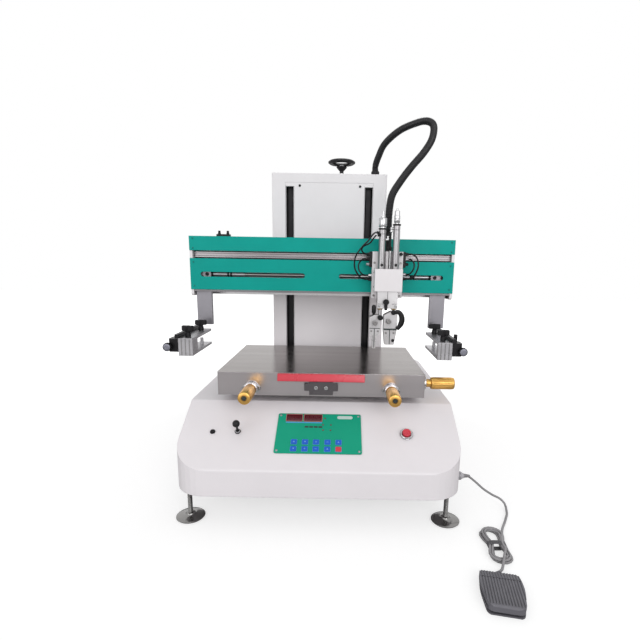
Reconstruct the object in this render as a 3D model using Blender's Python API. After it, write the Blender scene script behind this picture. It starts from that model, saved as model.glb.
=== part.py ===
"""Bench-top pneumatic flatbed screen printer, in metres, Z up, resting on z = 0.

X runs along the squeegee stroke, Y away from the operator. Places are written
from the middle of the front edge of the bed and moved by SHIFT, so that the
origin is under the middle of the machine and its foot switch.
"""

import math

import bmesh
import bpy
from mathutils import Matrix, Vector

# Fits
GAP = 0.0003
SHEET = 0.0025

# Console
BASE_W = 0.644
BASE_FRONT = -0.150
BASE_REAR = 0.560
CREASE_Y = 0.025
UNDERSIDE = 0.071
LIP_TOP = 0.133
DECK = 0.234
CORNER_R = 0.072
EDGE_R = 0.006

# Levelling feet
FOOT_SIDE = 0.032
FOOT_X = BASE_W / 2 - FOOT_SIDE
FOOT_INSET = 0.036
FOOT_R = 0.032
FOOT_T = 0.007
FOOT_ROD_R = 0.005

# Bed and its two micrometer slides
BED_W = 0.500
BED_D = 0.343
BED_T = 0.057
BED_STEP = 0.0108
BED_LOW = DECK + 2 * BED_STEP
BED_TOP = BED_LOW + BED_T
SADDLE_W = 0.300
SADDLE_D = 0.240
SADDLE_Y = 0.060
BLOCK_INSET = 0.025
KNOB_R = 0.0145
KNOB_LEN = 0.083
KNOB_INSET = 0.081
KNOB_X = BED_W / 2 - KNOB_INSET
KNOB_Z = BED_LOW + 0.017
SIDE_KNOB_Y = 0.055
SIDE_KNOB_Z = BED_LOW + 0.0225
BOSS_T = 0.012
STOP_W = 0.209
STOP_D = 0.012
STOP_TAB = 0.057

# Column, which stands a little to the right
COLUMN_X = 0.004
COLUMN_W = 0.346
COLUMN_D = 0.155
COLUMN_SPACE = 0.032
COLUMN_FRONT = BED_D + COLUMN_SPACE
COLUMN_TOP = 0.832
COLUMN_WALL = 0.005
SLOT_X = 0.1192
SLOT_W = 0.027
WINDOW_TOP = COLUMN_TOP - 0.026
SLOT_TOP = WINDOW_TOP - 0.011
WINDOW_LOW = DECK + 0.030
SLOT_LOW = WINDOW_LOW + 0.020
LINER_DEPTH = 0.045
LINER_Y = COLUMN_FRONT + LINER_DEPTH
LINER_T = 0.006
SHOE_T = 0.020

# Handwheel and conduit gland on the column
WHEEL_X = 0.036
WHEEL_Y = COLUMN_FRONT + 0.050
WHEEL_R = 0.0415
WHEEL_HOLE_R = 0.0215
WHEEL_RISE = 0.041
WHEEL_HUB_R = 0.0165
WHEEL_SHAFT_R = 0.006
GLAND_X = 0.140
GLAND_H = 0.018

# Cross beam, whose whole head sits a little to the left
HEAD_X = -0.009
BEAM_W = 0.720
BEAM_SPACE = 0.085
BEAM_D = 0.090
BEAM_BACK = COLUMN_FRONT - BEAM_SPACE
BEAM_FRONT = BEAM_BACK - BEAM_D
BEAM_TOP = 0.637
UPPER_COVER_H = 0.038
RAIL_GAP = 0.021
LOWER_COVER_H = 0.084
BEAM_LOW = BEAM_TOP - UPPER_COVER_H - RAIL_GAP - LOWER_COVER_H
RAIL_MID = BEAM_TOP - UPPER_COVER_H - RAIL_GAP / 2
END_T = 0.007
END_DROP = 0.018
BOX_INSET = 0.040
BOX_FRONT = BEAM_FRONT + BOX_INSET
RAIL_HEAD = 0.0235
RAIL_HALF = 0.008
COVER_SLOT_IN = 0.0465
COVER_SLOT_OUT = BEAM_W / 2 - 0.028
COVER_SLOT_H = 0.013
CLAMP_ROD_DEPTH = 0.015
CLAMP_ROD_RISE = 0.0415
CLAMP_ROD_Y = BEAM_FRONT + CLAMP_ROD_DEPTH
CLAMP_ROD_Z = BEAM_LOW + CLAMP_ROD_RISE
CLAMP_ROD_R = 0.005
ROD_CLEAR = 0.0005
ARM_W = 0.017

# Screen frame clamps, with their small offsets on the beam
CLAMP_X = -0.003
FORK_X = -0.005
POST_INSET = 0.03575
POST_X = BEAM_W / 2 - POST_INSET
POST_W = 0.0415
POST_T = 0.012
POST_DROP = 0.0985
POST_LOW = BEAM_LOW - POST_DROP
POST_HEAD = 0.021
FORK_W = 0.0352
FORK_INSET = 0.02225
FORK_REACH = 0.175
FORK_IN = POST_X - FORK_INSET
FORK_FRONT = CLAMP_ROD_Y - FORK_REACH
FORK_LEN = 0.165
FORK_H = 0.044
FORK_T = 0.0065
FORK_WEB = 0.014
PILLAR_R = 0.0045
PILLAR_H = 0.017
BAR_H = 0.010
BAR_W = 0.008
BAR_OUT = FORK_IN + FORK_W + 0.006
FORK_TOP = POST_LOW - 2 * GAP - BAR_H
FORK_LOW = FORK_TOP - FORK_H
TKNOB_R = 0.0155
TKNOB_RISE = 0.012
TKNOB_H = 0.0215
SCREW_SHANK_R = 0.003
SCREW_REACH = (0.018, 0.012)
TKNOB_X = FORK_IN + 0.017
TKNOB_Y = (FORK_FRONT + 0.024, FORK_FRONT + 0.130)
BLOCK_W = 0.026
BLOCK_OUT = FORK_IN + FORK_W + BLOCK_W
BLOCK_D = 0.034
BLOCK_Y = FORK_FRONT + 0.006
BLOCK_LOW = FORK_LOW + 0.0085
BLOCK_TOP = FORK_LOW + 0.0415
PEG_R = 0.0048
PEG_H = 0.019
DIAL_R = 0.0105
DIAL_T = 0.014
DIAL_RISE = 0.0225
DIAL_Z = FORK_LOW + DIAL_RISE

# Squeegee carriage
CAR_X = 0.1745
CAR_W = 0.0805
CAR_DROP = 0.0125
CAR_RISE = 0.0145
CAR_SPACE = 0.016
CAR_LOW = BEAM_LOW - CAR_DROP
CAR_TOP = RAIL_MID + CAR_RISE
CAR_BACK = BEAM_FRONT - CAR_SPACE
CAR_T = 0.024
CAR_FRONT = CAR_BACK - CAR_T
NECK_W = 0.060
NECK_H = 0.011
SHROUD_W = 0.071
SHROUD_RISE = 0.0205
SHROUD_H = 0.057
SHROUD_LOW = CAR_LOW + SHROUD_RISE
SHROUD_TOP = SHROUD_LOW + SHROUD_H
SHROUD_D = 0.042
SHROUD_WALL = 0.002
CYL_X = 0.018
CYL_SPACE = 0.020
CYL_Y = CAR_FRONT - CYL_SPACE
CYL_R = 0.0092
PIN_R = 0.0025
SQUEEGEE_TUBE = 0.1525
FLOOD_TUBE = 0.163
GUIDE_W = 0.053
GUIDE_DROP = 0.0245
GUIDE_H = 0.0475
GUIDE_LOW = CAR_LOW - GUIDE_DROP
GUIDE_TOP = GUIDE_LOW + GUIDE_H
ROD_R = 0.004
ROD_SINK = 0.0045
HOLDER_SPACE = 0.017
FLOOD_SPACE = 0.007
ROD_TOP = GUIDE_TOP - ROD_SINK
HOLDER_TOP = GUIDE_LOW - HOLDER_SPACE
HOLDER_H = 0.089
FLOOD_TOP = GUIDE_LOW - FLOOD_SPACE
FLOOD_H = 0.088
HOLDER_D = 0.028
SCREW_R = 0.008
SCREW_T = 0.015

# Controls on the sloping panel
PANEL_W = 0.197
PANEL_S = (0.042, 0.156)
PANEL_T = 0.002
BUTTON_X = BASE_W / 2 - 0.121
BUTTON_S = 0.0985
LEVER_X = -BASE_W / 2 + 0.132
LEVER_S = 0.098
BALL_R = 0.0085
BALL_UP = 0.029
CAP_X = -BASE_W / 2 + 0.074
CAP_S = 0.0995

# Foot switch and its cord
PEDAL_W = 0.076
PEDAL_REAR_W = 0.070
PEDAL_FRONT_W = 0.061
PEDAL_D = 0.100
PEDAL_X = 0.339
PEDAL_Y = -0.3445
PEDAL_TURN = math.radians(-11)
PEDAL_REAR_H = 0.010
PEDAL_FRONT_H = 0.021
HEEL_D = 0.022
TREAD_DROP = 0.008
SKIRT_T = 0.005
SKIRT_LOW = 0.0075
PLATE_H = 0.0028
RIBS = 15
RIB_H = 0.0012
CORD_R = 0.003
HANK_X = 0.374
HANK_Y = -0.205
HANK_W = 0.047
HANK_L = 0.115
HANK_H = 0.0137
PLUG_Y = -0.062
PLUG_Z = 0.086
PLUG_R = 0.010
PLUG_LEN = 0.018
CONDUIT_R = 0.010
TUBE_R = 0.002

PEDAL_FRONT = (
    PEDAL_Y
    - PEDAL_D / 2 * math.cos(PEDAL_TURN)
    - PEDAL_FRONT_W / 2 * abs(math.sin(PEDAL_TURN))
)
SHIFT_X = 0.004
SHIFT_Y = -(PEDAL_FRONT + BASE_REAR) / 2
SLOPE = math.atan2(DECK - LIP_TOP, CREASE_Y - BASE_FRONT)
SHIFT = Vector((SHIFT_X, SHIFT_Y, 0))

for old in list(bpy.data.objects):
    bpy.data.objects.remove(old)


def paint(obj, colour, metal=0.0, rough=0.5):
    """Gives the object its own material."""
    material = bpy.data.materials.new(obj.name + "_finish")
    material.use_nodes = True
    shader = material.node_tree.nodes["Principled BSDF"]
    shader.inputs["Base Color"].default_value = (*colour, 1)
    shader.inputs["Metallic"].default_value = metal
    shader.inputs["Roughness"].default_value = rough
    obj.data.materials.append(material)


WHITE = ((0.78, 0.76, 0.77), 0.0, 0.5)
TEAL = ((0.0, 0.34, 0.27), 0.0, 0.4)
GREEN = ((0.01, 0.33, 0.17), 0.0, 0.4)
BLACK = ((0.02, 0.02, 0.022), 0.0, 0.5)
STEEL = ((0.42, 0.40, 0.39), 1.0, 0.3)
ALLOY = ((0.55, 0.54, 0.55), 1.0, 0.4)
CHROME = ((0.6, 0.6, 0.6), 1.0, 0.15)
BRASS = ((0.66, 0.42, 0.12), 1.0, 0.3)
RED = ((0.6, 0.03, 0.05), 0.0, 0.4)
GREY = ((0.25, 0.25, 0.25), 0.0, 0.6)
SLATE = ((0.12, 0.12, 0.14), 0.0, 0.6)


def node(name, bm, finish, origin=(0, 0, 0)):
    """Makes an object of a mesh drawn in machine coordinates, with its origin set."""
    bmesh.ops.recalc_face_normals(bm, faces=bm.faces)
    bm.transform(Matrix.Translation(-Vector(origin)))
    mesh = bpy.data.meshes.new(name)
    bm.to_mesh(mesh)
    bm.free()
    mesh.shade_smooth()
    mesh.set_sharp_from_angle(angle=math.radians(35))
    obj = bpy.data.objects.new(name, mesh)
    obj.location = Vector(origin) + SHIFT
    bpy.context.scene.collection.objects.link(obj)
    paint(obj, *finish)
    return obj


def tool(target, bm, operation):
    """Cuts a mesh from the target, or joins it on, through a Boolean modifier."""
    number = len(target.modifiers)
    name = f"{target.name}_tool{number}"
    helper = node(name, bm, GREY)
    helper.hide_render = True
    helper.display_type = "WIRE"
    modifier = target.modifiers.new(name, "BOOLEAN")
    modifier.solver = "EXACT"
    modifier.operation = operation
    modifier.object = helper
    return target


def cut(target, bm):
    return tool(target, bm, "DIFFERENCE")


def join(target, bm):
    return tool(target, bm, "UNION")


def slide_group(made_before, offset):
    """Moves all that was made since along X, cutters too."""
    for obj in set(bpy.data.objects) - made_before:
        obj.location.x += offset


def prism(outline, axis, low, high, bm=None):
    """Extrudes a flat outline along an axis: X takes (y, z), Y takes (x, z), Z takes (x, y)."""
    bm = bm or bmesh.new()
    place = {
        "X": lambda a, b, c: (c, a, b),
        "Y": lambda a, b, c: (a, c, b),
        "Z": lambda a, b, c: (a, b, c),
    }[axis]
    rings = [[bm.verts.new(place(a, b, c)) for a, b in outline] for c in (low, high)]
    count = len(outline)
    for i in range(count):
        j = (i + 1) % count
        bm.faces.new((rings[0][i], rings[0][j], rings[1][j], rings[1][i]))
    bm.faces.new(rings[0][::-1])
    bm.faces.new(rings[1])
    return bm


def block(x0, x1, y0, y1, z0, z1):
    return prism([(x0, y0), (x1, y0), (x1, y1), (x0, y1)], "Z", z0, z1)


def rounded(corners, radii, steps=4):
    """Replaces each corner of a polygon by an arc that is tangent to both its sides."""
    out = []
    count = len(corners)
    for i in range(count):
        here = Vector(corners[i])
        before = (Vector(corners[i - 1]) - here).normalized()
        after = (Vector(corners[(i + 1) % count]) - here).normalized()
        radius = radii[i] if isinstance(radii, (list, tuple)) else radii
        if radius <= 0:
            out.append(tuple(here))
            continue
        half = before.angle(after) / 2
        reach = radius / math.tan(half)
        centre = here + (before + after).normalized() * radius / math.sin(half)
        start = here + before * reach - centre
        end = here + after * reach - centre
        sweep = start.angle_signed(end)
        for k in range(steps + 1):
            turn = -sweep * k / steps
            c, s = math.cos(turn), math.sin(turn)
            arm = Vector((start.x * c - start.y * s, start.x * s + start.y * c))
            out.append(tuple(centre + arm))
    return out


def rectangle(a0, a1, b0, b1, radius=0.0, steps=4):
    corners = [(a0, b0), (a1, b0), (a1, b1), (a0, b1)]
    return rounded(corners, radius, steps) if radius else corners


def lathe(profile, at, direction=(0, 0, 1), segments=24):
    """Turns (radius, distance) pairs round an axis through a point, both ends closed."""
    bm = bmesh.new()
    turn = Vector((0, 0, 1)).rotation_difference(Vector(direction)).to_matrix()
    rings = []
    for radius, along in profile:
        if radius <= 0:
            rings.append([bm.verts.new(turn @ Vector((0, 0, along)) + Vector(at))])
            continue
        ring = []
        for k in range(segments):
            a = 2 * math.pi * k / segments
            point = Vector((radius * math.cos(a), radius * math.sin(a), along))
            ring.append(bm.verts.new(turn @ point + Vector(at)))
        rings.append(ring)
    for low, high in zip(rings, rings[1:]):
        for k in range(segments):
            j = (k + 1) % segments
            corners = [low[k % len(low)], low[j % len(low)]]
            corners += [high[j % len(high)], high[k % len(high)]]
            bm.faces.new(list(dict.fromkeys(corners)))
    for ring in (rings[0], rings[-1]):
        if len(ring) > 1:
            bm.faces.new(ring)
    return bm


def ring(profile, at, direction, segments=24):
    """Turns a closed profile that stays off the axis."""
    bm = bmesh.new()
    turn = Vector((0, 0, 1)).rotation_difference(Vector(direction)).to_matrix()
    rings = []
    for k in range(segments):
        a = 2 * math.pi * k / segments
        rings.append(
            [
                bm.verts.new(
                    turn @ Vector((r * math.cos(a), r * math.sin(a), h)) + Vector(at)
                )
                for r, h in profile
            ]
        )
    for k in range(segments):
        near, far = rings[k], rings[(k + 1) % segments]
        for i in range(len(profile)):
            j = (i + 1) % len(profile)
            bm.faces.new((near[i], near[j], far[j], far[i]))
    return bm


def drum(x, y, z0, z1, radius, segments=20):
    return lathe([(radius, 0), (radius, z1 - z0)], (x, y, z0), segments=segments)


def smooth_route(points, spacing):
    """Reads evenly spaced points from a smooth curve through the given ones."""
    fine = []
    ends = [2 * points[0] - points[1]] + points + [2 * points[-1] - points[-2]]
    for a, b, c, d in zip(ends, ends[1:], ends[2:], ends[3:]):
        for k in range(24):
            t = k / 24
            fine.append(
                0.5
                * (
                    2 * b
                    + (c - a) * t
                    + (2 * a - 5 * b + 4 * c - d) * t * t
                    + (3 * b - a - 3 * c + d) * t**3
                )
            )
    fine.append(points[-1])
    total = sum((q - p).length for p, q in zip(fine, fine[1:]))
    count = max(2, round(total / spacing))
    out, walked, target = [fine[0]], 0.0, total / count
    for p, q in zip(fine, fine[1:]):
        step = (q - p).length
        while walked + step >= target - 1e-9 and len(out) < count:
            out.append(p.lerp(q, (target - walked) / step))
            target += total / count
        walked += step
    return out + [fine[-1]]


def cord_along(name, line, radius, finish):
    """A round cord through evenly spaced points, as a bevelled curve with closed ends."""
    curve = bpy.data.curves.new(name, "CURVE")
    curve.dimensions = "3D"
    curve.bevel_depth = radius
    curve.bevel_resolution = 2
    curve.use_fill_caps = True
    spline = curve.splines.new("POLY")
    spline.points.add(len(line) - 1)
    for target, point in zip(spline.points, line):
        target.co = (*(point + SHIFT), 1)
    obj = bpy.data.objects.new(name, curve)
    bpy.context.scene.collection.objects.link(obj)
    paint(obj, *finish)
    return obj


def square_ends(points, spacing):
    """The smooth route, with a short straight lead that sets each end face square."""
    points = [Vector(p) for p in points]
    line = smooth_route(points, spacing)
    lead = spacing / 6
    line.insert(1, line[0] + (points[1] - points[0]).normalized() * lead)
    line.insert(-1, line[-1] + (points[-2] - points[-1]).normalized() * lead)
    return line


def cord(name, points, radius, finish, spacing=2.5):
    """A round cord through hand-chosen points, a few diameters apart."""
    line = square_ends(points, spacing * 2 * radius)
    return cord_along(name, line, radius, finish)


# Console with its sloping control face
side_view = rounded(
    [
        (BASE_FRONT, UNDERSIDE),
        (BASE_REAR, UNDERSIDE),
        (BASE_REAR, DECK),
        (CREASE_Y, DECK),
        (BASE_FRONT, LIP_TOP),
    ],
    [0, 0, EDGE_R, EDGE_R, EDGE_R],
)
plan_view = rectangle(
    -BASE_W / 2, BASE_W / 2, BASE_FRONT, BASE_REAR, CORNER_R, steps=8
)
console = node("console", prism(plan_view, "Z", UNDERSIDE, DECK + 0.01), WHITE)
tool(console, prism(side_view, "X", -BASE_W, BASE_W), "INTERSECT")

for side, x in (("left", -FOOT_X), ("right", FOOT_X)):
    for end, y in (("front", BASE_FRONT + FOOT_INSET), ("rear", BASE_REAR - FOOT_INSET)):
        profile = [
            (FOOT_R, 0),
            (FOOT_R, FOOT_T * 0.5),
            (FOOT_R * 0.5, FOOT_T),
            (FOOT_ROD_R * 2, FOOT_T * 1.4),
            (FOOT_ROD_R, FOOT_T * 1.4),
            (FOOT_ROD_R, UNDERSIDE - GAP),
        ]
        node(f"foot_{end}_{side}", lathe(profile, (x, y, 0)), CHROME)


def on_slope(x, down, out=0.0):
    """A point on the control face, by its distance down from the crease."""
    along = Vector((0, -math.cos(SLOPE), -math.sin(SLOPE)))
    normal = Vector((0, -math.sin(SLOPE), math.cos(SLOPE)))
    return Vector((x, CREASE_Y, DECK)) + along * down + normal * out


def laid_on_slope(bm, x, down):
    """Moves a mesh drawn flat round the origin onto the control face."""
    turn = Matrix.Rotation(SLOPE, 4, "X")
    bm.transform(Matrix.Translation(on_slope(x, down)) @ turn)
    return bm


SLOPE_NORMAL = (on_slope(0, 0, 1) - on_slope(0, 0)).normalized()
panel_h = (PANEL_S[1] - PANEL_S[0]) / 2
panel = prism(
    rectangle(-PANEL_W / 2, PANEL_W / 2, -panel_h, panel_h, 0.004),
    "Z",
    GAP,
    GAP + PANEL_T,
)
node("control_panel", laid_on_slope(panel, -0.002, sum(PANEL_S) / 2), GREEN)
bezel = [(0.0145, GAP), (0.0145, 0.004), (0.013, 0.006), (0.0105, 0.006), (0.0105, GAP)]


button_at = on_slope(BUTTON_X, BUTTON_S)
node("button_bezel", ring(bezel, button_at, SLOPE_NORMAL), CHROME)
button = [(0.0098, 0.0048), (0.0098, 0.0095), (0.008, 0.011), (0, 0.0115)]
node("start_button", lathe(button, button_at, SLOPE_NORMAL), RED, button_at)
lever_at = on_slope(LEVER_X, LEVER_S)
collar = [(0.007, GAP), (0.007, 0.003), (0.006, 0.005), (0.0046, 0.005), (0.0046, GAP)]
node("lever_collar", ring(collar, lever_at, SLOPE_NORMAL), BLACK)
ball = []
for k in range(2, 10):
    a = k * math.pi / 10
    ball.append((BALL_R * math.sin(a), BALL_UP - BALL_R * math.cos(a)))
lever = [(0.0022, 3 * GAP), (0.0026, ball[0][1])] + ball + [(0, BALL_UP + BALL_R)]
node("ball_lever", lathe(lever, lever_at, SLOPE_NORMAL), BLACK, lever_at)
cap = [(0.006, GAP), (0.006, 0.003), (0.005, 0.004)]
node("fuse_cap", lathe(cap, on_slope(CAP_X, CAP_S), SLOPE_NORMAL, 16), BLACK)

# Column with its two guide slots
made_before = set(bpy.data.objects)
half = COLUMN_W / 2
back = COLUMN_FRONT + COLUMN_D
column = node(
    "column",
    prism(rectangle(-half, half, COLUMN_FRONT, back, 0.004, 2), "Z", DECK + GAP, COLUMN_TOP),
    WHITE,
)
cut(
    column,
    block(
        -half + COLUMN_WALL,
        half - COLUMN_WALL,
        COLUMN_FRONT + COLUMN_WALL,
        back - COLUMN_WALL,
        DECK - 0.01,
        COLUMN_TOP - COLUMN_WALL,
    ),
)
window = SLOT_X + SLOT_W / 2
cut(
    column,
    block(-window, window, COLUMN_FRONT - 0.01, COLUMN_FRONT + 0.02, WINDOW_LOW, WINDOW_TOP),
)
inner = SLOT_X - SLOT_W / 2
wide = window - GAP
front_outline = [
    (-wide, WINDOW_LOW + GAP),
    (wide, WINDOW_LOW + GAP),
    (wide, SLOT_LOW),
    (inner, SLOT_LOW),
    (inner, SLOT_TOP),
    (wide, SLOT_TOP),
    (wide, WINDOW_TOP - GAP),
    (-wide, WINDOW_TOP - GAP),
    (-wide, SLOT_TOP),
    (-inner, SLOT_TOP),
    (-inner, SLOT_LOW),
    (-wide, SLOT_LOW),
]
node(
    "column_front",
    prism(front_outline, "Y", COLUMN_FRONT, COLUMN_FRONT + SHEET),
    WHITE,
)
liner = node(
    "guide_rails",
    block(
        -half + COLUMN_WALL + GAP,
        half - COLUMN_WALL - GAP,
        LINER_Y,
        LINER_Y + LINER_T,
        DECK + GAP,
        COLUMN_TOP - COLUMN_WALL - GAP,
    ),
    BLACK,
)
shoe = SLOT_W / 2 - 0.0065
for x in (-SLOT_X, SLOT_X):
    join(
        liner,
        block(x - shoe, x + shoe, LINER_Y - SHOE_T, LINER_Y + 0.003, DECK + 0.01, SLOT_TOP),
    )

# Handwheel: a lens-shaped rim on three spokes that rise from a conical hub
wheel_at = (WHEEL_X, WHEEL_Y, COLUMN_TOP)
rim_mid = (WHEEL_R + WHEEL_HOLE_R) / 2
rim = [
    (WHEEL_HOLE_R, WHEEL_RISE),
    (rim_mid - 0.004, WHEEL_RISE - 0.0045),
    (rim_mid + 0.005, WHEEL_RISE - 0.005),
    (WHEEL_R, WHEEL_RISE - 0.0015),
    (WHEEL_R, WHEEL_RISE + 0.002),
    (rim_mid + 0.005, WHEEL_RISE + 0.0055),
    (rim_mid - 0.004, WHEEL_RISE + 0.004),
]
hub = [
    (WHEEL_SHAFT_R, GAP),
    (WHEEL_SHAFT_R, 0.016),
    (WHEEL_HUB_R - 0.009, 0.017),
    (WHEEL_HUB_R, WHEEL_RISE - 0.014),
    (WHEEL_HUB_R - 0.003, WHEEL_RISE - 0.011),
]
wheel = node("handwheel", ring(rim, wheel_at, (0, 0, 1), 32), BLACK, wheel_at)
join(wheel, lathe(hub, wheel_at))
for k in range(3):
    spoke = lathe([(0.004, 0.004), (0.0035, rim_mid + 0.002)], (0, 0, 0), (1, 0, 0.38), 10)
    spoke.transform(
        Matrix.Translation(Vector(wheel_at) + Vector((0, 0, WHEEL_RISE - 0.0145)))
        @ Matrix.Rotation((k - 0.25) * 2 * math.pi / 3, 4, "Z")
    )
    join(wheel, spoke)

gland_at = (GLAND_X, WHEEL_Y, COLUMN_TOP)
gland = [(0.0135, GAP), (0.0135, 0.008), (0.0125, 0.010), (0.0125, GLAND_H)]
node("conduit_gland", lathe(gland, gland_at), BLACK)
slide_group(made_before, COLUMN_X)

# Cross beam
made_before = set(bpy.data.objects)
half = BEAM_W / 2
cover_low = BEAM_TOP - UPPER_COVER_H
upper = [
    (BEAM_FRONT, cover_low),
    (BEAM_FRONT + SHEET, cover_low),
    (BEAM_FRONT + SHEET, BEAM_TOP - SHEET),
    (BEAM_BACK, BEAM_TOP - SHEET),
    (BEAM_BACK, BEAM_TOP),
    (BEAM_FRONT, BEAM_TOP),
]
node("upper_cover", prism(upper, "X", -half, half), TEAL)
lower = rectangle(BEAM_FRONT, BEAM_FRONT + SHEET, BEAM_LOW, BEAM_LOW + LOWER_COVER_H)
lower_cover = node("lower_cover", prism(lower, "X", -half, half), TEAL)
for side in (-1, 1):
    ends = sorted((side * COVER_SLOT_IN, side * COVER_SLOT_OUT))
    outline = rectangle(
        ends[0],
        ends[1],
        CLAMP_ROD_Z - COVER_SLOT_H / 2,
        CLAMP_ROD_Z + COVER_SLOT_H / 2,
        COVER_SLOT_H * 0.49,
        4,
    )
    cut(lower_cover, prism(outline, "Y", BEAM_FRONT - 0.01, BEAM_FRONT + 0.01))
end_outline = rounded(
    [
        (BEAM_FRONT + SHEET + GAP, BEAM_LOW - END_DROP),
        (BEAM_BACK, BEAM_LOW - END_DROP),
        (BEAM_BACK, BEAM_TOP - SHEET - GAP),
        (BEAM_FRONT + SHEET + GAP, BEAM_TOP - SHEET - GAP),
    ],
    [0.008, 0.008, 0, 0],
)
for name, side in (("left", -1), ("right", 1)):
    ends = sorted((side * half, side * (half - END_T)))
    node(f"end_plate_{name}", prism(end_outline, "X", *ends), WHITE)
box_half = half - END_T - GAP
channel = 0.028
rail_face = BOX_FRONT - 0.008
beam_outline = [
    (BOX_FRONT, BEAM_LOW + 0.006),
    (BEAM_BACK - channel, BEAM_LOW + 0.006),
    (BEAM_BACK - channel, BEAM_LOW - END_DROP + 0.002),
    (BEAM_BACK, BEAM_LOW - END_DROP + 0.002),
    (BEAM_BACK, BEAM_TOP - SHEET - GAP),
    (BOX_FRONT, BEAM_TOP - SHEET - GAP),
    (BOX_FRONT, RAIL_MID + RAIL_HALF / 2),
    (rail_face, RAIL_MID + RAIL_HALF / 2),
    (rail_face, RAIL_MID + RAIL_HALF),
    (BOX_FRONT - RAIL_HEAD, RAIL_MID + RAIL_HALF),
    (BOX_FRONT - RAIL_HEAD, RAIL_MID - RAIL_HALF),
    (rail_face, RAIL_MID - RAIL_HALF),
    (rail_face, RAIL_MID - RAIL_HALF / 2),
    (BOX_FRONT, RAIL_MID - RAIL_HALF / 2),
]
beam = node("beam", prism(beam_outline, "X", -box_half, box_half), ALLOY)
column_mid = COLUMN_X - HEAD_X
for x in (column_mid - SLOT_X, column_mid + SLOT_X):
    join(
        beam,
        block(
            x - ARM_W / 2,
            x + ARM_W / 2,
            BEAM_BACK - 0.002,
            LINER_Y - SHOE_T - GAP,
            BEAM_LOW + 0.011,
            BEAM_TOP - 0.012,
        ),
    )
clamp_rod = [(CLAMP_ROD_R, 0), (CLAMP_ROD_R, 2 * box_half)]
node(
    "clamp_rod",
    lathe(clamp_rod, (-box_half, CLAMP_ROD_Y, CLAMP_ROD_Z), (1, 0, 0), 16),
    CHROME,
)


def star(radius, depth, lobes, steps=6):
    """A hand knob's outline, with a hollow between each two lobes."""
    out = []
    count = lobes * steps
    for k in range(count):
        a = 2 * math.pi * k / count
        r = radius - depth * (0.5 + 0.5 * math.cos(lobes * a)) ** 2
        out.append((r * math.cos(a), r * math.sin(a)))
    return out


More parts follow.
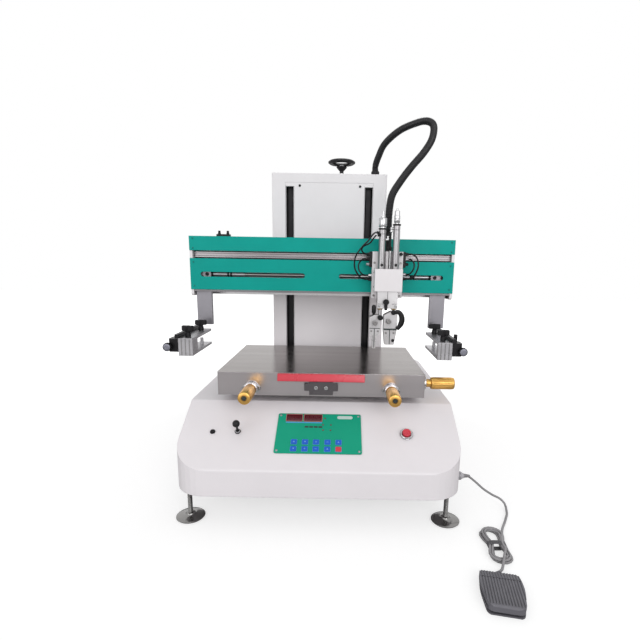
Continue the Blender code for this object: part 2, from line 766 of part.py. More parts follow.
# Screen frame clamps, one on each side
before_clamps = set(bpy.data.objects)
for name, side in (("left", -1), ("right", 1)):

    def mirrored(a, b):
        return sorted((side * a, side * b))

    origin = (side * POST_X, CLAMP_ROD_Y, CLAMP_ROD_Z)
    post = node(
        f"{name}_post",
        block(
            *mirrored(POST_X - POST_W / 2, POST_X + POST_W / 2),
            CLAMP_ROD_Y - POST_T / 2,
            CLAMP_ROD_Y + POST_T / 2,
            POST_LOW,
            CLAMP_ROD_Z + POST_HEAD,
        ),
        ALLOY,
        origin,
    )
    nut = 0.012
    join(
        post,
        block(
            *mirrored(POST_X - POST_W / 2 + 0.004, POST_X + POST_W / 2 - 0.004),
            CLAMP_ROD_Y - 0.002,
            CLAMP_ROD_Y + nut + 0.002,
            CLAMP_ROD_Z - nut,
            CLAMP_ROD_Z + nut,
        ),
    )
    bore = [(CLAMP_ROD_R + ROD_CLEAR, 0), (CLAMP_ROD_R + ROD_CLEAR, 2 * POST_W)]
    cut(
        post,
        lathe(bore, (side * POST_X - POST_W, CLAMP_ROD_Y, CLAMP_ROD_Z), (1, 0, 0), 16),
    )
    before_fork = set(bpy.data.objects)
    fork_back = FORK_FRONT + FORK_LEN
    outline = [
        (FORK_FRONT, FORK_LOW),
        (fork_back, FORK_LOW),
        (fork_back, FORK_LOW + FORK_T),
        (FORK_FRONT + FORK_WEB, FORK_LOW + FORK_T),
        (FORK_FRONT + FORK_WEB, FORK_TOP - FORK_T),
        (fork_back, FORK_TOP - FORK_T),
        (fork_back, FORK_TOP),
        (FORK_FRONT, FORK_TOP),
    ]
    fork = node(
        f"{name}_fork",
        prism(outline, "X", *mirrored(FORK_IN, FORK_IN + FORK_W)),
        ALLOY,
        origin,
    )
    for y in TKNOB_Y:
        hole = drum(
            side * TKNOB_X,
            y,
            FORK_TOP - FORK_T - 0.002,
            FORK_TOP + 0.002,
            SCREW_SHANK_R + 0.0015,
            16,
        )
        cut(fork, hole)
    pillar_low = FORK_LOW + FORK_T
    pillar = drum(
        side * TKNOB_X,
        TKNOB_Y[1],
        pillar_low - 0.001,
        pillar_low + PILLAR_H,
        PILLAR_R,
        16,
    )
    join(fork, pillar)
    adjuster = node(
        f"{name}_adjuster",
        block(
            *mirrored(BAR_OUT - BAR_W, BAR_OUT),
            FORK_FRONT - 0.006,
            CLAMP_ROD_Y + POST_T / 2,
            FORK_TOP + GAP,
            FORK_TOP + GAP + BAR_H,
        ),
        BLACK,
        origin,
    )
    block_plan = rounded(
        [
            (side * (FORK_IN + FORK_W + GAP), BLOCK_Y),
            (side * BLOCK_OUT, BLOCK_Y),
            (side * BLOCK_OUT, BLOCK_Y + BLOCK_D),
            (side * (FORK_IN + FORK_W + GAP), BLOCK_Y + BLOCK_D),
        ],
        [0, 0.004, 0.004, 0],
        3,
    )
    join(adjuster, prism(block_plan, "Z", BLOCK_LOW, BLOCK_TOP))
    neck = block(
        *mirrored(FORK_IN + FORK_W + GAP, BAR_OUT),
        BLOCK_Y + 0.002,
        BLOCK_Y + BLOCK_D - 0.002,
        BLOCK_TOP - 0.002,
        FORK_TOP + 0.004,
    )
    join(adjuster, neck)
    if side > 0:
        peg = drum(
            BLOCK_OUT - BLOCK_W / 2,
            BLOCK_Y + BLOCK_D - 0.012,
            BLOCK_TOP - 0.002,
            BLOCK_TOP + PEG_H,
            PEG_R,
            12,
        )
        join(adjuster, peg)
    dial_at = (side * BLOCK_OUT, BLOCK_Y - GAP, DIAL_Z)
    dial = [
        (DIAL_R / 2, 0),
        (DIAL_R / 2, 0.003),
        (DIAL_R, 0.003),
        (DIAL_R, DIAL_T),
        (DIAL_R - 0.0015, DIAL_T + 0.0015),
        (0, DIAL_T + 0.0015),
    ]
    node(f"{name}_dial", lathe(dial, dial_at, (0, -1, 0)), CHROME, dial_at)
    for place, y, reach in zip(("front", "rear"), TKNOB_Y, SCREW_REACH):
        knob_at = (side * TKNOB_X, y, FORK_TOP)
        shank = [
            (SCREW_SHANK_R + 0.003, -reach),
            (SCREW_SHANK_R + 0.003, 0.004 - reach),
            (SCREW_SHANK_R, 0.004 - reach),
            (SCREW_SHANK_R, GAP),
            (TKNOB_R * 0.42, GAP),
            (TKNOB_R * 0.42, TKNOB_RISE * 0.4),
            (TKNOB_R - 0.0035, TKNOB_RISE + 0.002),
        ]
        knob = node(
            f"{name}_tknob_{place}",
            lathe(shank, knob_at, segments=18),
            BLACK,
            knob_at,
        )
        head = prism(star(TKNOB_R, 0.005, 5), "Z", FORK_TOP + TKNOB_RISE, FORK_TOP + TKNOB_H)
        head.transform(Matrix.Translation((knob_at[0], knob_at[1], 0)))
        join(knob, head)
    slide_group(before_fork, FORK_X)
slide_group(before_clamps, CLAMP_X)

# Squeegee carriage
car_half = CAR_W / 2
carriage = node(
    "carriage",
    block(CAR_X - car_half, CAR_X + car_half, CAR_FRONT, CAR_BACK, CAR_LOW, CAR_TOP),
    WHITE,
    (CAR_X, CAR_BACK, RAIL_MID),
)
join(
    carriage,
    block(
        CAR_X - NECK_W / 2,
        CAR_X + NECK_W / 2,
        CAR_BACK - 0.004,
        BOX_FRONT - RAIL_HEAD - GAP,
        RAIL_MID - NECK_H / 2,
        RAIL_MID + NECK_H / 2,
    ),
)
shroud_x = SHROUD_W / 2
wall_y = CAR_FRONT - GAP
front_y = CAR_FRONT - SHROUD_D
shroud = [
    (CAR_X - shroud_x, wall_y),
    (CAR_X - shroud_x, front_y),
    (CAR_X + shroud_x, front_y),
    (CAR_X + shroud_x, wall_y),
    (CAR_X + shroud_x - SHROUD_WALL, wall_y),
    (CAR_X + shroud_x - SHROUD_WALL, front_y + SHROUD_WALL),
    (CAR_X - shroud_x + SHROUD_WALL, front_y + SHROUD_WALL),
    (CAR_X - shroud_x + SHROUD_WALL, wall_y),
]
node("carriage_cover", prism(shroud, "Z", SHROUD_LOW, SHROUD_TOP), WHITE)
guide = node(
    "rod_guide",
    block(
        CAR_X - GUIDE_W / 2,
        CAR_X + GUIDE_W / 2,
        CYL_Y - 0.012,
        CAR_FRONT - GAP,
        GUIDE_LOW,
        GUIDE_TOP,
    ),
    ALLOY,
)
for x in (CAR_X - CYL_X, CAR_X + CYL_X):
    cut(guide, drum(x, CYL_Y, GUIDE_LOW - 0.01, GUIDE_TOP + 0.01, ROD_R + GAP, 16))


def cylinder(name, x, tube, neck, cap):
    """An air cylinder: foot collar, barrel, clamp ring, end cap and pin, bottom to top."""
    neck_r, cap_r = neck, cap[0]
    ring_top = tube + 0.004
    cap_top = ring_top + cap[1]
    profile = [
        (CYL_R + 0.001, 0),
        (CYL_R + 0.001, 0.016),
        (CYL_R, 0.018),
        (CYL_R, tube),
        (CYL_R + 0.0013, tube),
        (CYL_R + 0.0013, ring_top),
        (neck_r, ring_top),
        (neck_r, ring_top + 0.003),
        (cap_r, ring_top + 0.003),
        (cap_r, cap_top),
        (PIN_R, cap_top + 0.001),
        (PIN_R, cap_top + cap[2]),
    ]
    node(name, lathe(profile, (x, CYL_Y, GUIDE_TOP + GAP), segments=20), ALLOY)


cylinder("squeegee_cylinder", CAR_X - CYL_X, SQUEEGEE_TUBE, 0.0085, (0.0105, 0.025, 0.018))
cylinder("flood_cylinder", CAR_X + CYL_X, FLOOD_TUBE, 0.0060, (0.0078, 0.0325, 0.006))

# Holders on the two piston rods, each with a blade slot that its screw closes
left_rod = (CAR_X - CYL_X, CYL_Y, GUIDE_LOW)
jaw = [
    (-0.0455, HOLDER_TOP - 0.007),
    (-0.0455, HOLDER_TOP - 0.048),
    (-0.036, HOLDER_TOP - 0.056),
    (-0.036, HOLDER_TOP - HOLDER_H),
    (-0.028, HOLDER_TOP - HOLDER_H),
    (-0.028, HOLDER_TOP - 0.056),
    (-0.0165, HOLDER_TOP - 0.048),
    (-0.0165, HOLDER_TOP),
    (-0.034, HOLDER_TOP),
]
jaw = [(CAR_X + x, z) for x, z in jaw]
squeegee = node(
    "squeegee_holder",
    prism(jaw, "Y", CYL_Y - HOLDER_D / 2, CYL_Y + HOLDER_D / 2),
    ALLOY,
    left_rod,
)
join(squeegee, drum(CAR_X - CYL_X, CYL_Y, HOLDER_TOP - 0.015, ROD_TOP, ROD_R, 16))
right_rod = (CAR_X + CYL_X, CYL_Y, GUIDE_LOW)
flood_front = CYL_Y - HOLDER_D / 2 - 0.004
jaw = [
    (-0.0085, FLOOD_TOP - 0.010),
    (-0.0085, FLOOD_TOP - 0.050),
    (-0.004, FLOOD_TOP - FLOOD_H),
    (0.020, FLOOD_TOP - FLOOD_H),
    (0.0265, FLOOD_TOP - 0.050),
    (0.0265, FLOOD_TOP),
    (0.010, FLOOD_TOP),
]
jaw = [(CAR_X + x, z) for x, z in jaw]
flood = node(
    "flood_holder",
    prism(jaw, "Y", flood_front, flood_front + HOLDER_D),
    ALLOY,
    right_rod,
)
join(flood, drum(CAR_X + CYL_X, CYL_Y, FLOOD_TOP - 0.020, ROD_TOP, ROD_R, 16))
knob = [
    (0.003, 0),
    (0.003, 0.003),
    (SCREW_R, 0.003),
    (SCREW_R, SCREW_T - 0.002),
    (SCREW_R - 0.002, SCREW_T),
]
knob_at = (CAR_X - 0.031, CYL_Y - HOLDER_D / 2 - GAP, HOLDER_TOP - 0.020)
node("squeegee_knob", lathe(knob, knob_at, (0, -1, 0), 16), BLACK, knob_at)
knob_at = (CAR_X + 0.004, flood_front - GAP, FLOOD_TOP - 0.025)
node("flood_knob", lathe(knob, knob_at, (0, -1, 0), 16), BLACK, knob_at)

# Air loops at both sides of the carriage
TUBE_GAP = 0.0008
cyl_left = -CYL_X - CYL_R - TUBE_GAP
car_side = CAR_W / 2 + TUBE_GAP
left_loop = [
    (cyl_left, CYL_Y, 0.650),
    (cyl_left - 0.006, CYL_Y, 0.650),
    (-0.0405, 0.139, 0.644),
    (-0.0535, 0.136, 0.630),
    (-0.0705, 0.138, 0.612),
    (-0.0855, 0.144, 0.588),
    (-0.0865, 0.150, 0.560),
    (-0.0735, 0.158, 0.538),
    (-0.0575, 0.167, 0.531),
    (-car_side - 0.006, 0.170, 0.530),
    (-car_side, 0.170, 0.530),
]
right_loop = [
    (car_side, 0.172, 0.597),
    (car_side + 0.006, 0.172, 0.597),
    (0.0645, 0.168, 0.598),
    (0.0755, 0.160, 0.590),
    (0.0805, 0.156, 0.570),
    (0.0745, 0.156, 0.548),
    (0.0645, 0.162, 0.537),
    (car_side + 0.006, 0.166, 0.533),
    (car_side, 0.166, 0.533),
]
for name, loop in (("air_loop_left", left_loop), ("air_loop_right", right_loop)):
    cord(name, [(CAR_X + x, y, z) for x, y, z in loop], TUBE_R, BLACK, 3)
slide_group(made_before, HEAD_X)

# Bed on its cross slide
mid_y = SADDLE_Y + SADDLE_D / 2
node(
    "bed_block",
    block(
        -SADDLE_W / 2 + BLOCK_INSET,
        SADDLE_W / 2 - BLOCK_INSET,
        SADDLE_Y + BLOCK_INSET,
        SADDLE_Y + SADDLE_D - BLOCK_INSET,
        DECK + GAP,
        DECK + BED_STEP,
    ),
    STEEL,
)
node(
    "bed_saddle",
    block(
        -SADDLE_W / 2,
        SADDLE_W / 2,
        SADDLE_Y,
        SADDLE_Y + SADDLE_D,
        DECK + BED_STEP + GAP,
        BED_LOW - GAP,
    ),
    STEEL,
    (0, mid_y, DECK + BED_STEP),
)
bed = node(
    "bed",
    prism(rectangle(-BED_W / 2, BED_W / 2, 0, BED_D, 0.003, 2), "Z", BED_LOW, BED_TOP),
    STEEL,
    (0, mid_y, BED_LOW),
)
boss = [(KNOB_R + 0.002, -0.004), (KNOB_R + 0.002, BOSS_T - 0.001), (KNOB_R, BOSS_T)]
for x in (-KNOB_X, KNOB_X):
    join(bed, lathe(boss, (x, 0, KNOB_Z), (0, -1, 0), 20))
join(bed, lathe(boss, (BED_W / 2, SIDE_KNOB_Y, SIDE_KNOB_Z), (1, 0, 0), 20))
reach = KNOB_LEN - BOSS_T
brass = [
    (0.010, 0),
    (0.010, 0.012),
    (KNOB_R - 0.001, 0.012),
    (KNOB_R, 0.014),
    (KNOB_R, reach - 0.003),
    (KNOB_R - 0.003, reach),
    (0.005, reach),
    (0.005, reach - 0.012),
    (0, reach - 0.012),
]
for name, at, way in (
    ("bed_knob_left", (-KNOB_X, -BOSS_T - GAP, KNOB_Z), (0, -1, 0)),
    ("bed_knob_right", (KNOB_X, -BOSS_T - GAP, KNOB_Z), (0, -1, 0)),
    ("bed_knob_side", (BED_W / 2 + BOSS_T + GAP, SIDE_KNOB_Y, SIDE_KNOB_Z), (1, 0, 0)),
):
    node(name, lathe(brass, at, way), BRASS, at)
stop_low = BED_TOP - 0.018
strip = [
    (-GAP, BED_TOP - 0.001),
    (-0.006, BED_TOP - 0.001),
    (-STOP_D, stop_low + 0.002),
    (-STOP_D, stop_low),
    (-GAP, stop_low),
]
guard = node("red_stop", prism(strip, "X", -STOP_W / 2, STOP_W / 2), RED)
bracket_low = BED_LOW + 0.005
ear_low = bracket_low + 0.010
ear_top = ear_low + 0.018
tab = STOP_TAB / 2
ear = tab + 0.012
bracket = [
    (-tab, bracket_low),
    (tab, bracket_low),
    (tab, ear_low),
    (ear, ear_low),
    (ear, ear_top),
    (tab, ear_top),
    (tab, stop_low + 0.002),
    (-tab, stop_low + 0.002),
    (-tab, ear_top),
    (-ear, ear_top),
    (-ear, ear_low),
    (-tab, ear_low),
]
join(guard, prism(bracket, "Y", -0.008, -GAP))

# Foot switch: ribs run over its fixed heel and its hinged tread, which has a skirt in front
pedal_turn = Matrix.Translation((PEDAL_X, PEDAL_Y, 0)) @ Matrix.Rotation(PEDAL_TURN, 4, "Z")
front, rear = -PEDAL_D / 2, PEDAL_D / 2
hinge_y = rear - HEEL_D
tread_rear = hinge_y - 0.001 - 2 * GAP
pedal_plan = rounded(
    [
        (-PEDAL_FRONT_W / 2, front),
        (PEDAL_FRONT_W / 2, front),
        (PEDAL_W / 2, 0.004),
        (PEDAL_REAR_W / 2, rear),
        (-PEDAL_REAR_W / 2, rear),
        (-PEDAL_W / 2, 0.004),
    ],
    [0.012, 0.012, 0.150, 0.008, 0.008, 0.150],
    5,
)


def pedal_piece(name, side, top, origin=(0, 0, 0)):
    """A piece of the foot switch: its side view within its plan, with ribs along its top."""
    piece = node(name, prism(side, "X", -PEDAL_W, PEDAL_W), SLATE)
    tool(piece, prism(pedal_plan, "Z", -0.01, 0.05), "INTERSECT")
    grooves = bmesh.new()
    low = [(y, z - RIB_H) for y, z in top]
    high = [(y, z + 0.01) for y, z in top[::-1]]
    pitch = PEDAL_W / RIBS
    for k in range(1, RIBS):
        x = k * pitch - PEDAL_W / 2
        prism(low + high, "X", x - pitch * 0.22, x + pitch * 0.22, grooves)
    cut(piece, grooves)
    for obj in [piece] + [m.object for m in piece.modifiers]:
        obj.data.transform(pedal_turn)
        obj.data.transform(Matrix.Translation(-Vector(origin)))
        obj.location = Vector(origin) + SHIFT
    return piece


heel_top = [(rear + 0.001, PEDAL_REAR_H), (hinge_y - 0.001, PEDAL_REAR_H + 0.0055)]
plate_step = front + SKIRT_T + 0.006
heel = [
    (front + 0.001, 0),
    (rear, 0),
    (rear, PEDAL_REAR_H),
    (hinge_y, PEDAL_REAR_H + 0.005),
    (hinge_y - 0.001, 0.005),
    (plate_step + 0.002, 0.0075),
    (plate_step, PLATE_H),
    (front + 0.001, PLATE_H),
]
pedal_piece("pedal_base", heel, heel_top)
tread_top = [(tread_rear + 0.001, PEDAL_REAR_H + 0.005), (front + 0.004, PEDAL_FRONT_H)]
tread = [
    (front, SKIRT_LOW),
    (front + SKIRT_T, SKIRT_LOW),
    (front + SKIRT_T, PEDAL_FRONT_H - TREAD_DROP),
    (tread_rear, PEDAL_REAR_H - 0.003),
    (tread_rear, PEDAL_REAR_H + 0.005),
    (front + 0.006, PEDAL_FRONT_H),
    (front + 0.002, PEDAL_FRONT_H - 0.001),
    (front, PEDAL_FRONT_H - 0.004),
]
hinge = pedal_turn @ Vector((0, tread_rear, PEDAL_REAR_H))
pedal_piece("pedal_tread", tread, tread_top, hinge)

plug = [(PLUG_R, GAP), (PLUG_R, 0.010), (0.006, 0.013), (0.006, PLUG_LEN)]
node("side_plug", lathe(plug, (BASE_W / 2, PLUG_Y, PLUG_Z), (1, 0, 0), 20), GREY)

# Cords, whose routes follow the photograph
hank = rectangle(
    HANK_X - HANK_W / 2,
    HANK_X + HANK_W / 2,
    HANK_Y - HANK_L / 2,
    HANK_Y + HANK_L / 2,
    HANK_W * 0.499,
    8,
)
node("cord_hank", prism(hank, "Z", GAP, HANK_H), GREY)

plug_end = BASE_W / 2 + PLUG_LEN + GAP
feed = [
    (plug_end, PLUG_Y, PLUG_Z),
    (plug_end + 0.010, PLUG_Y, PLUG_Z - 0.0005),
    (0.3702, -0.0605, 0.0699),
    (0.3909, -0.0575, 0.0508),
    (0.4157, -0.0535, 0.0332),
    (0.4358, -0.0510, 0.0221),
    (0.4476, -0.0570, 0.0116),
    (0.4469, -0.0705, 0.0045),
    (0.4425, -0.0850, 0.0034),
    (0.4336, -0.1020, 0.0034),
    (0.4190, -0.125, 0.0036),
    (0.4030, -0.143, 0.0045),
    (0.3909, -0.1541, 0.0063),
]
cord("cord_feed", feed, CORD_R, GREY)
tail = [
    (0.3656, -0.2613, 0.0060),
    (0.3625, -0.2690, 0.0053),
    pedal_turn @ Vector((-0.002, PEDAL_D / 2 + 0.010, 0.005)),
    pedal_turn @ Vector((-0.002, PEDAL_D / 2 + 2 * GAP, 0.005)),
]
cord("cord_tail", tail, CORD_R, GREY, 2.2)

gland_top = COLUMN_TOP + GLAND_H + GAP
conduit_y = CAR_BACK - CAR_T / 2
peak = Vector((0.2749, 0.300, 0.960))
conduit_start = GLAND_X + COLUMN_X
conduit_end = CAR_X + HEAD_X
conduit = [
    (conduit_start, WHEEL_Y, gland_top),
    (conduit_start, WHEEL_Y, gland_top + 0.015),
    (0.151, 0.402, 0.888),
    (0.1665, 0.375, 0.918),
    (0.2035, 0.337, 0.9445),
    (0.2475, 0.312, 0.9585),
    peak,
    (0.2900, 0.284, 0.944),
    (0.2838, 0.262, 0.906),
    (0.2600, 0.238, 0.866),
    (0.2232, 0.215, 0.822),
    (0.1935, 0.195, 0.782),
    (0.1720, 0.180, 0.745),
    (conduit_end, conduit_y, 0.701),
    (conduit_end, conduit_y, 0.653),
    (conduit_end, conduit_y, CAR_TOP + GAP),
]
line = square_ends(conduit, 4 * CONDUIT_R)
top = min(range(len(line)), key=lambda k: (line[k] - peak).length)
along = (line[top + 1] - line[top - 1]).normalized()
short = along * CONDUIT_R * 0.4
face = along * GAP / 2
cord_along(
    "conduit_rise",
    line[:top] + [line[top] - short, line[top] - face],
    CONDUIT_R,
    BLACK,
)
cord_along(
    "conduit_drop",
    [line[top] + face, line[top] + short] + line[top + 1 :],
    CONDUIT_R,
    BLACK,
)
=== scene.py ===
import math

import bmesh
import bpy
from mathutils import Matrix, Vector


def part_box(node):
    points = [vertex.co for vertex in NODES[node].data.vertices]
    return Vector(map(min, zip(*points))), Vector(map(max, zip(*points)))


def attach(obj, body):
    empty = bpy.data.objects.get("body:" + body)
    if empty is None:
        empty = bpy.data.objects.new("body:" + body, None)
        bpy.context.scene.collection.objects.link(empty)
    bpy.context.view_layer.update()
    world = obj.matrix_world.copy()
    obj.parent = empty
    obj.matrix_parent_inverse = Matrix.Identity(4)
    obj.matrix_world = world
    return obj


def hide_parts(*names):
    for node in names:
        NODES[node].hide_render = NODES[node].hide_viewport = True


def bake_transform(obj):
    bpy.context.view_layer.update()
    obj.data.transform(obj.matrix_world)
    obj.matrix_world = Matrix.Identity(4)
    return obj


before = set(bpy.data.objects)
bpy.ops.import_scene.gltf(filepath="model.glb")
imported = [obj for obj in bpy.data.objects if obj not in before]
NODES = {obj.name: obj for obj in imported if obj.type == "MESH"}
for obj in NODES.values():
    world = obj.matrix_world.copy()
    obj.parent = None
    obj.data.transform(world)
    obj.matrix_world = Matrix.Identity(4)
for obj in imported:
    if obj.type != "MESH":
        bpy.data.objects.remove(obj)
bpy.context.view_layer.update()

MM = 0.001


# Materials

# Reach of the painted corner shade in millimetres, and the samples for it and for the rounded
# edges
CORNER_SHADE_REACH = 12
EDGE_SAMPLES = 4


def fill(tree, node, sockets):
    """Sets inputs of a node by name or number; a value that is itself a socket is linked."""
    for key, value in sockets.items():
        if isinstance(value, bpy.types.NodeSocket):
            tree.links.new(value, node.inputs[key])
        else:
            node.inputs[key].default_value = value
    return node


def add(tree, kind, sockets=None, **properties):
    node = tree.nodes.new(kind)
    for key, value in properties.items():
        setattr(node, key, value)
    return fill(tree, node, sockets or {})


def math_node(tree, operation, a, b):
    return add(tree, "ShaderNodeMath", {0: a, 1: b}, operation=operation).outputs[0]


def spread(tree, factor, low, high, start=0.0, end=1.0):
    """Maps a signal from the range start to end to the range low to high."""
    return add(tree, "ShaderNodeMapRange", {
        "Value": factor, "From Min": start, "From Max": end, "To Min": low, "To Max": high,
    }).outputs[0]


def scaled(tree, colour, factor):
    """A colour made lighter or darker."""
    return add(tree, "ShaderNodeVectorMath", {0: colour, "Scale": factor},
               operation="SCALE").outputs[0]


def blend_colours(tree, factor, a, b):
    return add(tree, "ShaderNodeMix", {"Factor": factor, 6: a, 7: b},
               data_type="RGBA").outputs[2]


def noise(tree, at, scale, detail, stretch=(1, 1, 1)):
    mapping = add(tree, "ShaderNodeMapping", {"Vector": at, "Scale": stretch})
    return add(tree, "ShaderNodeTexNoise", {
        "Vector": mapping.outputs[0], "Scale": scale, "Detail": detail, "Roughness": 0.55,
    }).outputs["Fac"]


def finish(name, colour, rough, grain, depth, edge, corner_shade, metal=0.0, variation=0.06,
           rough_variation=0.08, stretch=(1, 1, 1), patch=14.0, wear_and_highlight=None, coat=0.0,
           specular=0.5, top=None):
    """A surface with grain, patches, rounded edges, edge wear with painted edge highlight, and
    painted shade in corners.

    The depth of the grain and the radius of the edges are in millimetres. Wear is a colour and an
    amount, for edge wear with painted edge highlight, and top is a darker colour for faces that
    look up, painted shade standing in for their darker reflection.
    """
    material = bpy.data.materials.new(name)
    material.use_nodes = True
    tree = material.node_tree
    at = add(tree, "ShaderNodeTexCoord").outputs["Object"]
    lightness = spread(tree, noise(tree, at, patch, 5), 1 - variation, 1 + variation, 0.3, 0.7)
    tint = scaled(tree, colour, lightness)
    geometry = add(tree, "ShaderNodeNewGeometry").outputs
    # Painted shade: faces that look up blend to the darker top colour, standing in for their
    # darker reflection.
    if top:
        up = add(tree, "ShaderNodeSeparateXYZ", {0: geometry["True Normal"]}).outputs["Z"]
        tint = blend_colours(tree, spread(tree, up, 0, 1, 0.6, 0.9), tint,
                             scaled(tree, top, lightness))
    # Painted shade: the colour darkens where ambient occlusion finds corners and crevices.
    if corner_shade:
        crevice = add(tree, "ShaderNodeAmbientOcclusion", {"Distance": CORNER_SHADE_REACH * MM},
                      samples=EDGE_SAMPLES)
        tint = scaled(tree, tint, spread(tree, crevice.outputs["AO"], 1 - corner_shade, 1, 0.2, 0.9))
    bevel = add(tree, "ShaderNodeBevel", {"Radius": edge * MM}, samples=EDGE_SAMPLES).outputs[0]
    # Edge wear and painted edge highlight: a second colour along rounded edges, lighter on most
    # materials, broken up by chipping noise.
    if wear_and_highlight:
        wear_highlight_colour, amount = wear_and_highlight
        turned = add(tree, "ShaderNodeVectorMath", {0: bevel, 1: geometry["Normal"]},
                     operation="DOT_PRODUCT").outputs["Value"]
        near_edge = spread(tree, turned, 1, 0, 0.80, 0.985)
        chipped = spread(tree, noise(tree, at, 120, 4), 0, 1, 0.42, 0.62)
        wear_highlight_mask = math_node(tree, "MULTIPLY", near_edge, chipped)
        wear_highlight_mask = math_node(tree, "MULTIPLY", wear_highlight_mask, amount)
        tint = blend_colours(tree, wear_highlight_mask, tint, (*wear_highlight_colour, 1))
    smears = noise(tree, at, patch * 3.1, 4, stretch)
    bump = add(tree, "ShaderNodeBump", {
        "Strength": 0.6, "Distance": depth * MM, "Normal": bevel,
        "Height": noise(tree, at, grain, 3, stretch),
    })
    fill(tree, tree.nodes["Principled BSDF"], {
        "Base Color": tint, "Metallic": metal, "Specular IOR Level": specular,
        "Roughness": spread(tree, smears, rough - rough_variation, rough + rough_variation,
                            0.3, 0.7),
        "Coat Weight": coat, "Coat Roughness": 0.12, "Normal": bump.outputs[0],
    })
    return material


# After the colour: roughness, grain, depth of the grain, edge and painted corner shade

WHITE = finish("white_powder_coat", (0.80, 0.765, 0.79), 0.42, 620, 0.045, 1.6, 0.18,
               variation=0.015, rough_variation=0.05, wear_and_highlight=((0.60, 0.58, 0.58), 0.3))
WHITE_SHEET = finish("white_sheet_metal", (0.80, 0.77, 0.79), 0.38, 640, 0.035, 0.8, 0.2,
                     variation=0.015, rough_variation=0.05, wear_and_highlight=((0.58, 0.56, 0.57), 0.35))
TEAL = finish("teal_enamel", (0.0, 0.335, 0.285), 0.45, 560, 0.04, 0.7, 0.25, specular=0.15,
              variation=0.05, rough_variation=0.06, wear_and_highlight=((0.12, 0.46, 0.40), 0.5))
# The bed's up-facing faces are painted darker than its sides: painted shade standing in for their
# darker reflection.
STEEL = finish("ground_steel", (0.56, 0.52, 0.53), 0.22, 260, 0.006, 1.0, 0.15, metal=1.0,
               top=(0.26, 0.235, 0.225), variation=0.05, rough_variation=0.05,
               stretch=(0.05, 1, 1), patch=7.0, wear_and_highlight=((0.70, 0.69, 0.68), 0.6))
STEEL_DARK = finish("slide_steel", (0.30, 0.29, 0.29), 0.34, 300, 0.01, 0.8, 0.3, metal=1.0,
                    stretch=(0.05, 1, 1))
ALLOY = finish("milled_alloy", (0.60, 0.585, 0.595), 0.33, 420, 0.02, 0.6, 0.35, metal=1.0,
               stretch=(1, 0.12, 1), wear_and_highlight=((0.82, 0.81, 0.82), 0.6))
CHROME = finish("chrome", (0.52, 0.52, 0.53), 0.12, 500, 0.004, 0.5, 0.25, metal=1.0,
                variation=0.03, rough_variation=0.04)
BRUSHED = finish("brushed_tube", (0.33, 0.32, 0.33), 0.26, 520, 0.012, 0.4, 0.3, metal=1.0,
                 variation=0.04, stretch=(1, 1, 0.08), wear_and_highlight=((0.85, 0.85, 0.85), 0.4))
BRASS = finish("brass", (0.70, 0.41, 0.115), 0.36, 480, 0.008, 0.6, 0.15, metal=1.0,
               variation=0.04, rough_variation=0.06, patch=60, wear_and_highlight=((0.85, 0.60, 0.22), 0.4))
BLACK = finish("black_plastic", (0.010, 0.0095, 0.011), 0.42, 900, 0.02, 0.6, 0.3,
               variation=0.2, specular=0.25, wear_and_highlight=((0.07, 0.07, 0.08), 0.4))
BLACK_OXIDE = finish("black_oxide_steel", (0.020, 0.019, 0.021), 0.38, 700, 0.02, 0.5, 0.3,
                     metal=0.5, variation=0.2, specular=0.25, wear_and_highlight=((0.16, 0.16, 0.17), 0.4))
RUBBER = finish("dark_grey_rubber", (0.135, 0.131, 0.150), 0.55, 700, 0.04, 0.5, 0.45,
                variation=0.12, wear_and_highlight=((0.22, 0.22, 0.23), 0.5))
SHEATH = finish("grey_cord_sheath", (0.27, 0.262, 0.272), 0.4, 500, 0.02, 0.3, 0.35,
                variation=0.1)
GREY = finish("grey_plastic", (0.46, 0.45, 0.475), 0.42, 700, 0.02, 0.5, 0.35,
              wear_and_highlight=((0.4, 0.4, 0.41), 0.4))
RED_GLOSS = finish("red_moulding", (0.60, 0.02, 0.045), 0.30, 600, 0.02, 0.6, 0.25,
                   wear_and_highlight=((0.75, 0.12, 0.15), 0.4), coat=0.3)
PANEL_GREEN = finish("panel_green", (0.004, 0.33, 0.20), 0.42, 1400, 0.02, 0.4, 0.2,
                     specular=0.2, variation=0.03, rough_variation=0.05)
SHEATH_DARK = finish("dark_relief", (0.09, 0.088, 0.095), 0.5, 600, 0.02, 0.3, 0.35,
                     variation=0.1)
CONDUIT_BLACK = finish("conduit_black", (0.014, 0.0135, 0.0155), 0.38, 900, 0.01, 0.2, 0.3,
                       specular=0.32, variation=0.2)
HOSE_BLACK = finish("air_hose_black", (0.012, 0.012, 0.014), 0.4, 700, 0.01, 0.2, 0.25,
                    specular=0.25, variation=0.2)
RED_FRAME = finish("window_frame_red", (0.50, 0.10, 0.12), 0.4, 900, 0.01, 0.3, 0.2,
                   variation=0.05)
WINDOW_GLASS = finish("window_dark_red", (0.075, 0.008, 0.014), 0.12, 900, 0.003, 0.2, 0.1,
                      variation=0.1, rough_variation=0.04)
SEGMENT_OFF = finish("segments_unlit", (0.17, 0.02, 0.03), 0.3, 900, 0.003, 0.1, 0.1,
                     variation=0.08)
LAMP_RED = finish("lamp_red", (0.15, 0.035, 0.035), 0.25, 900, 0.005, 0.3, 0.3,
                  variation=0.1, coat=0.5)
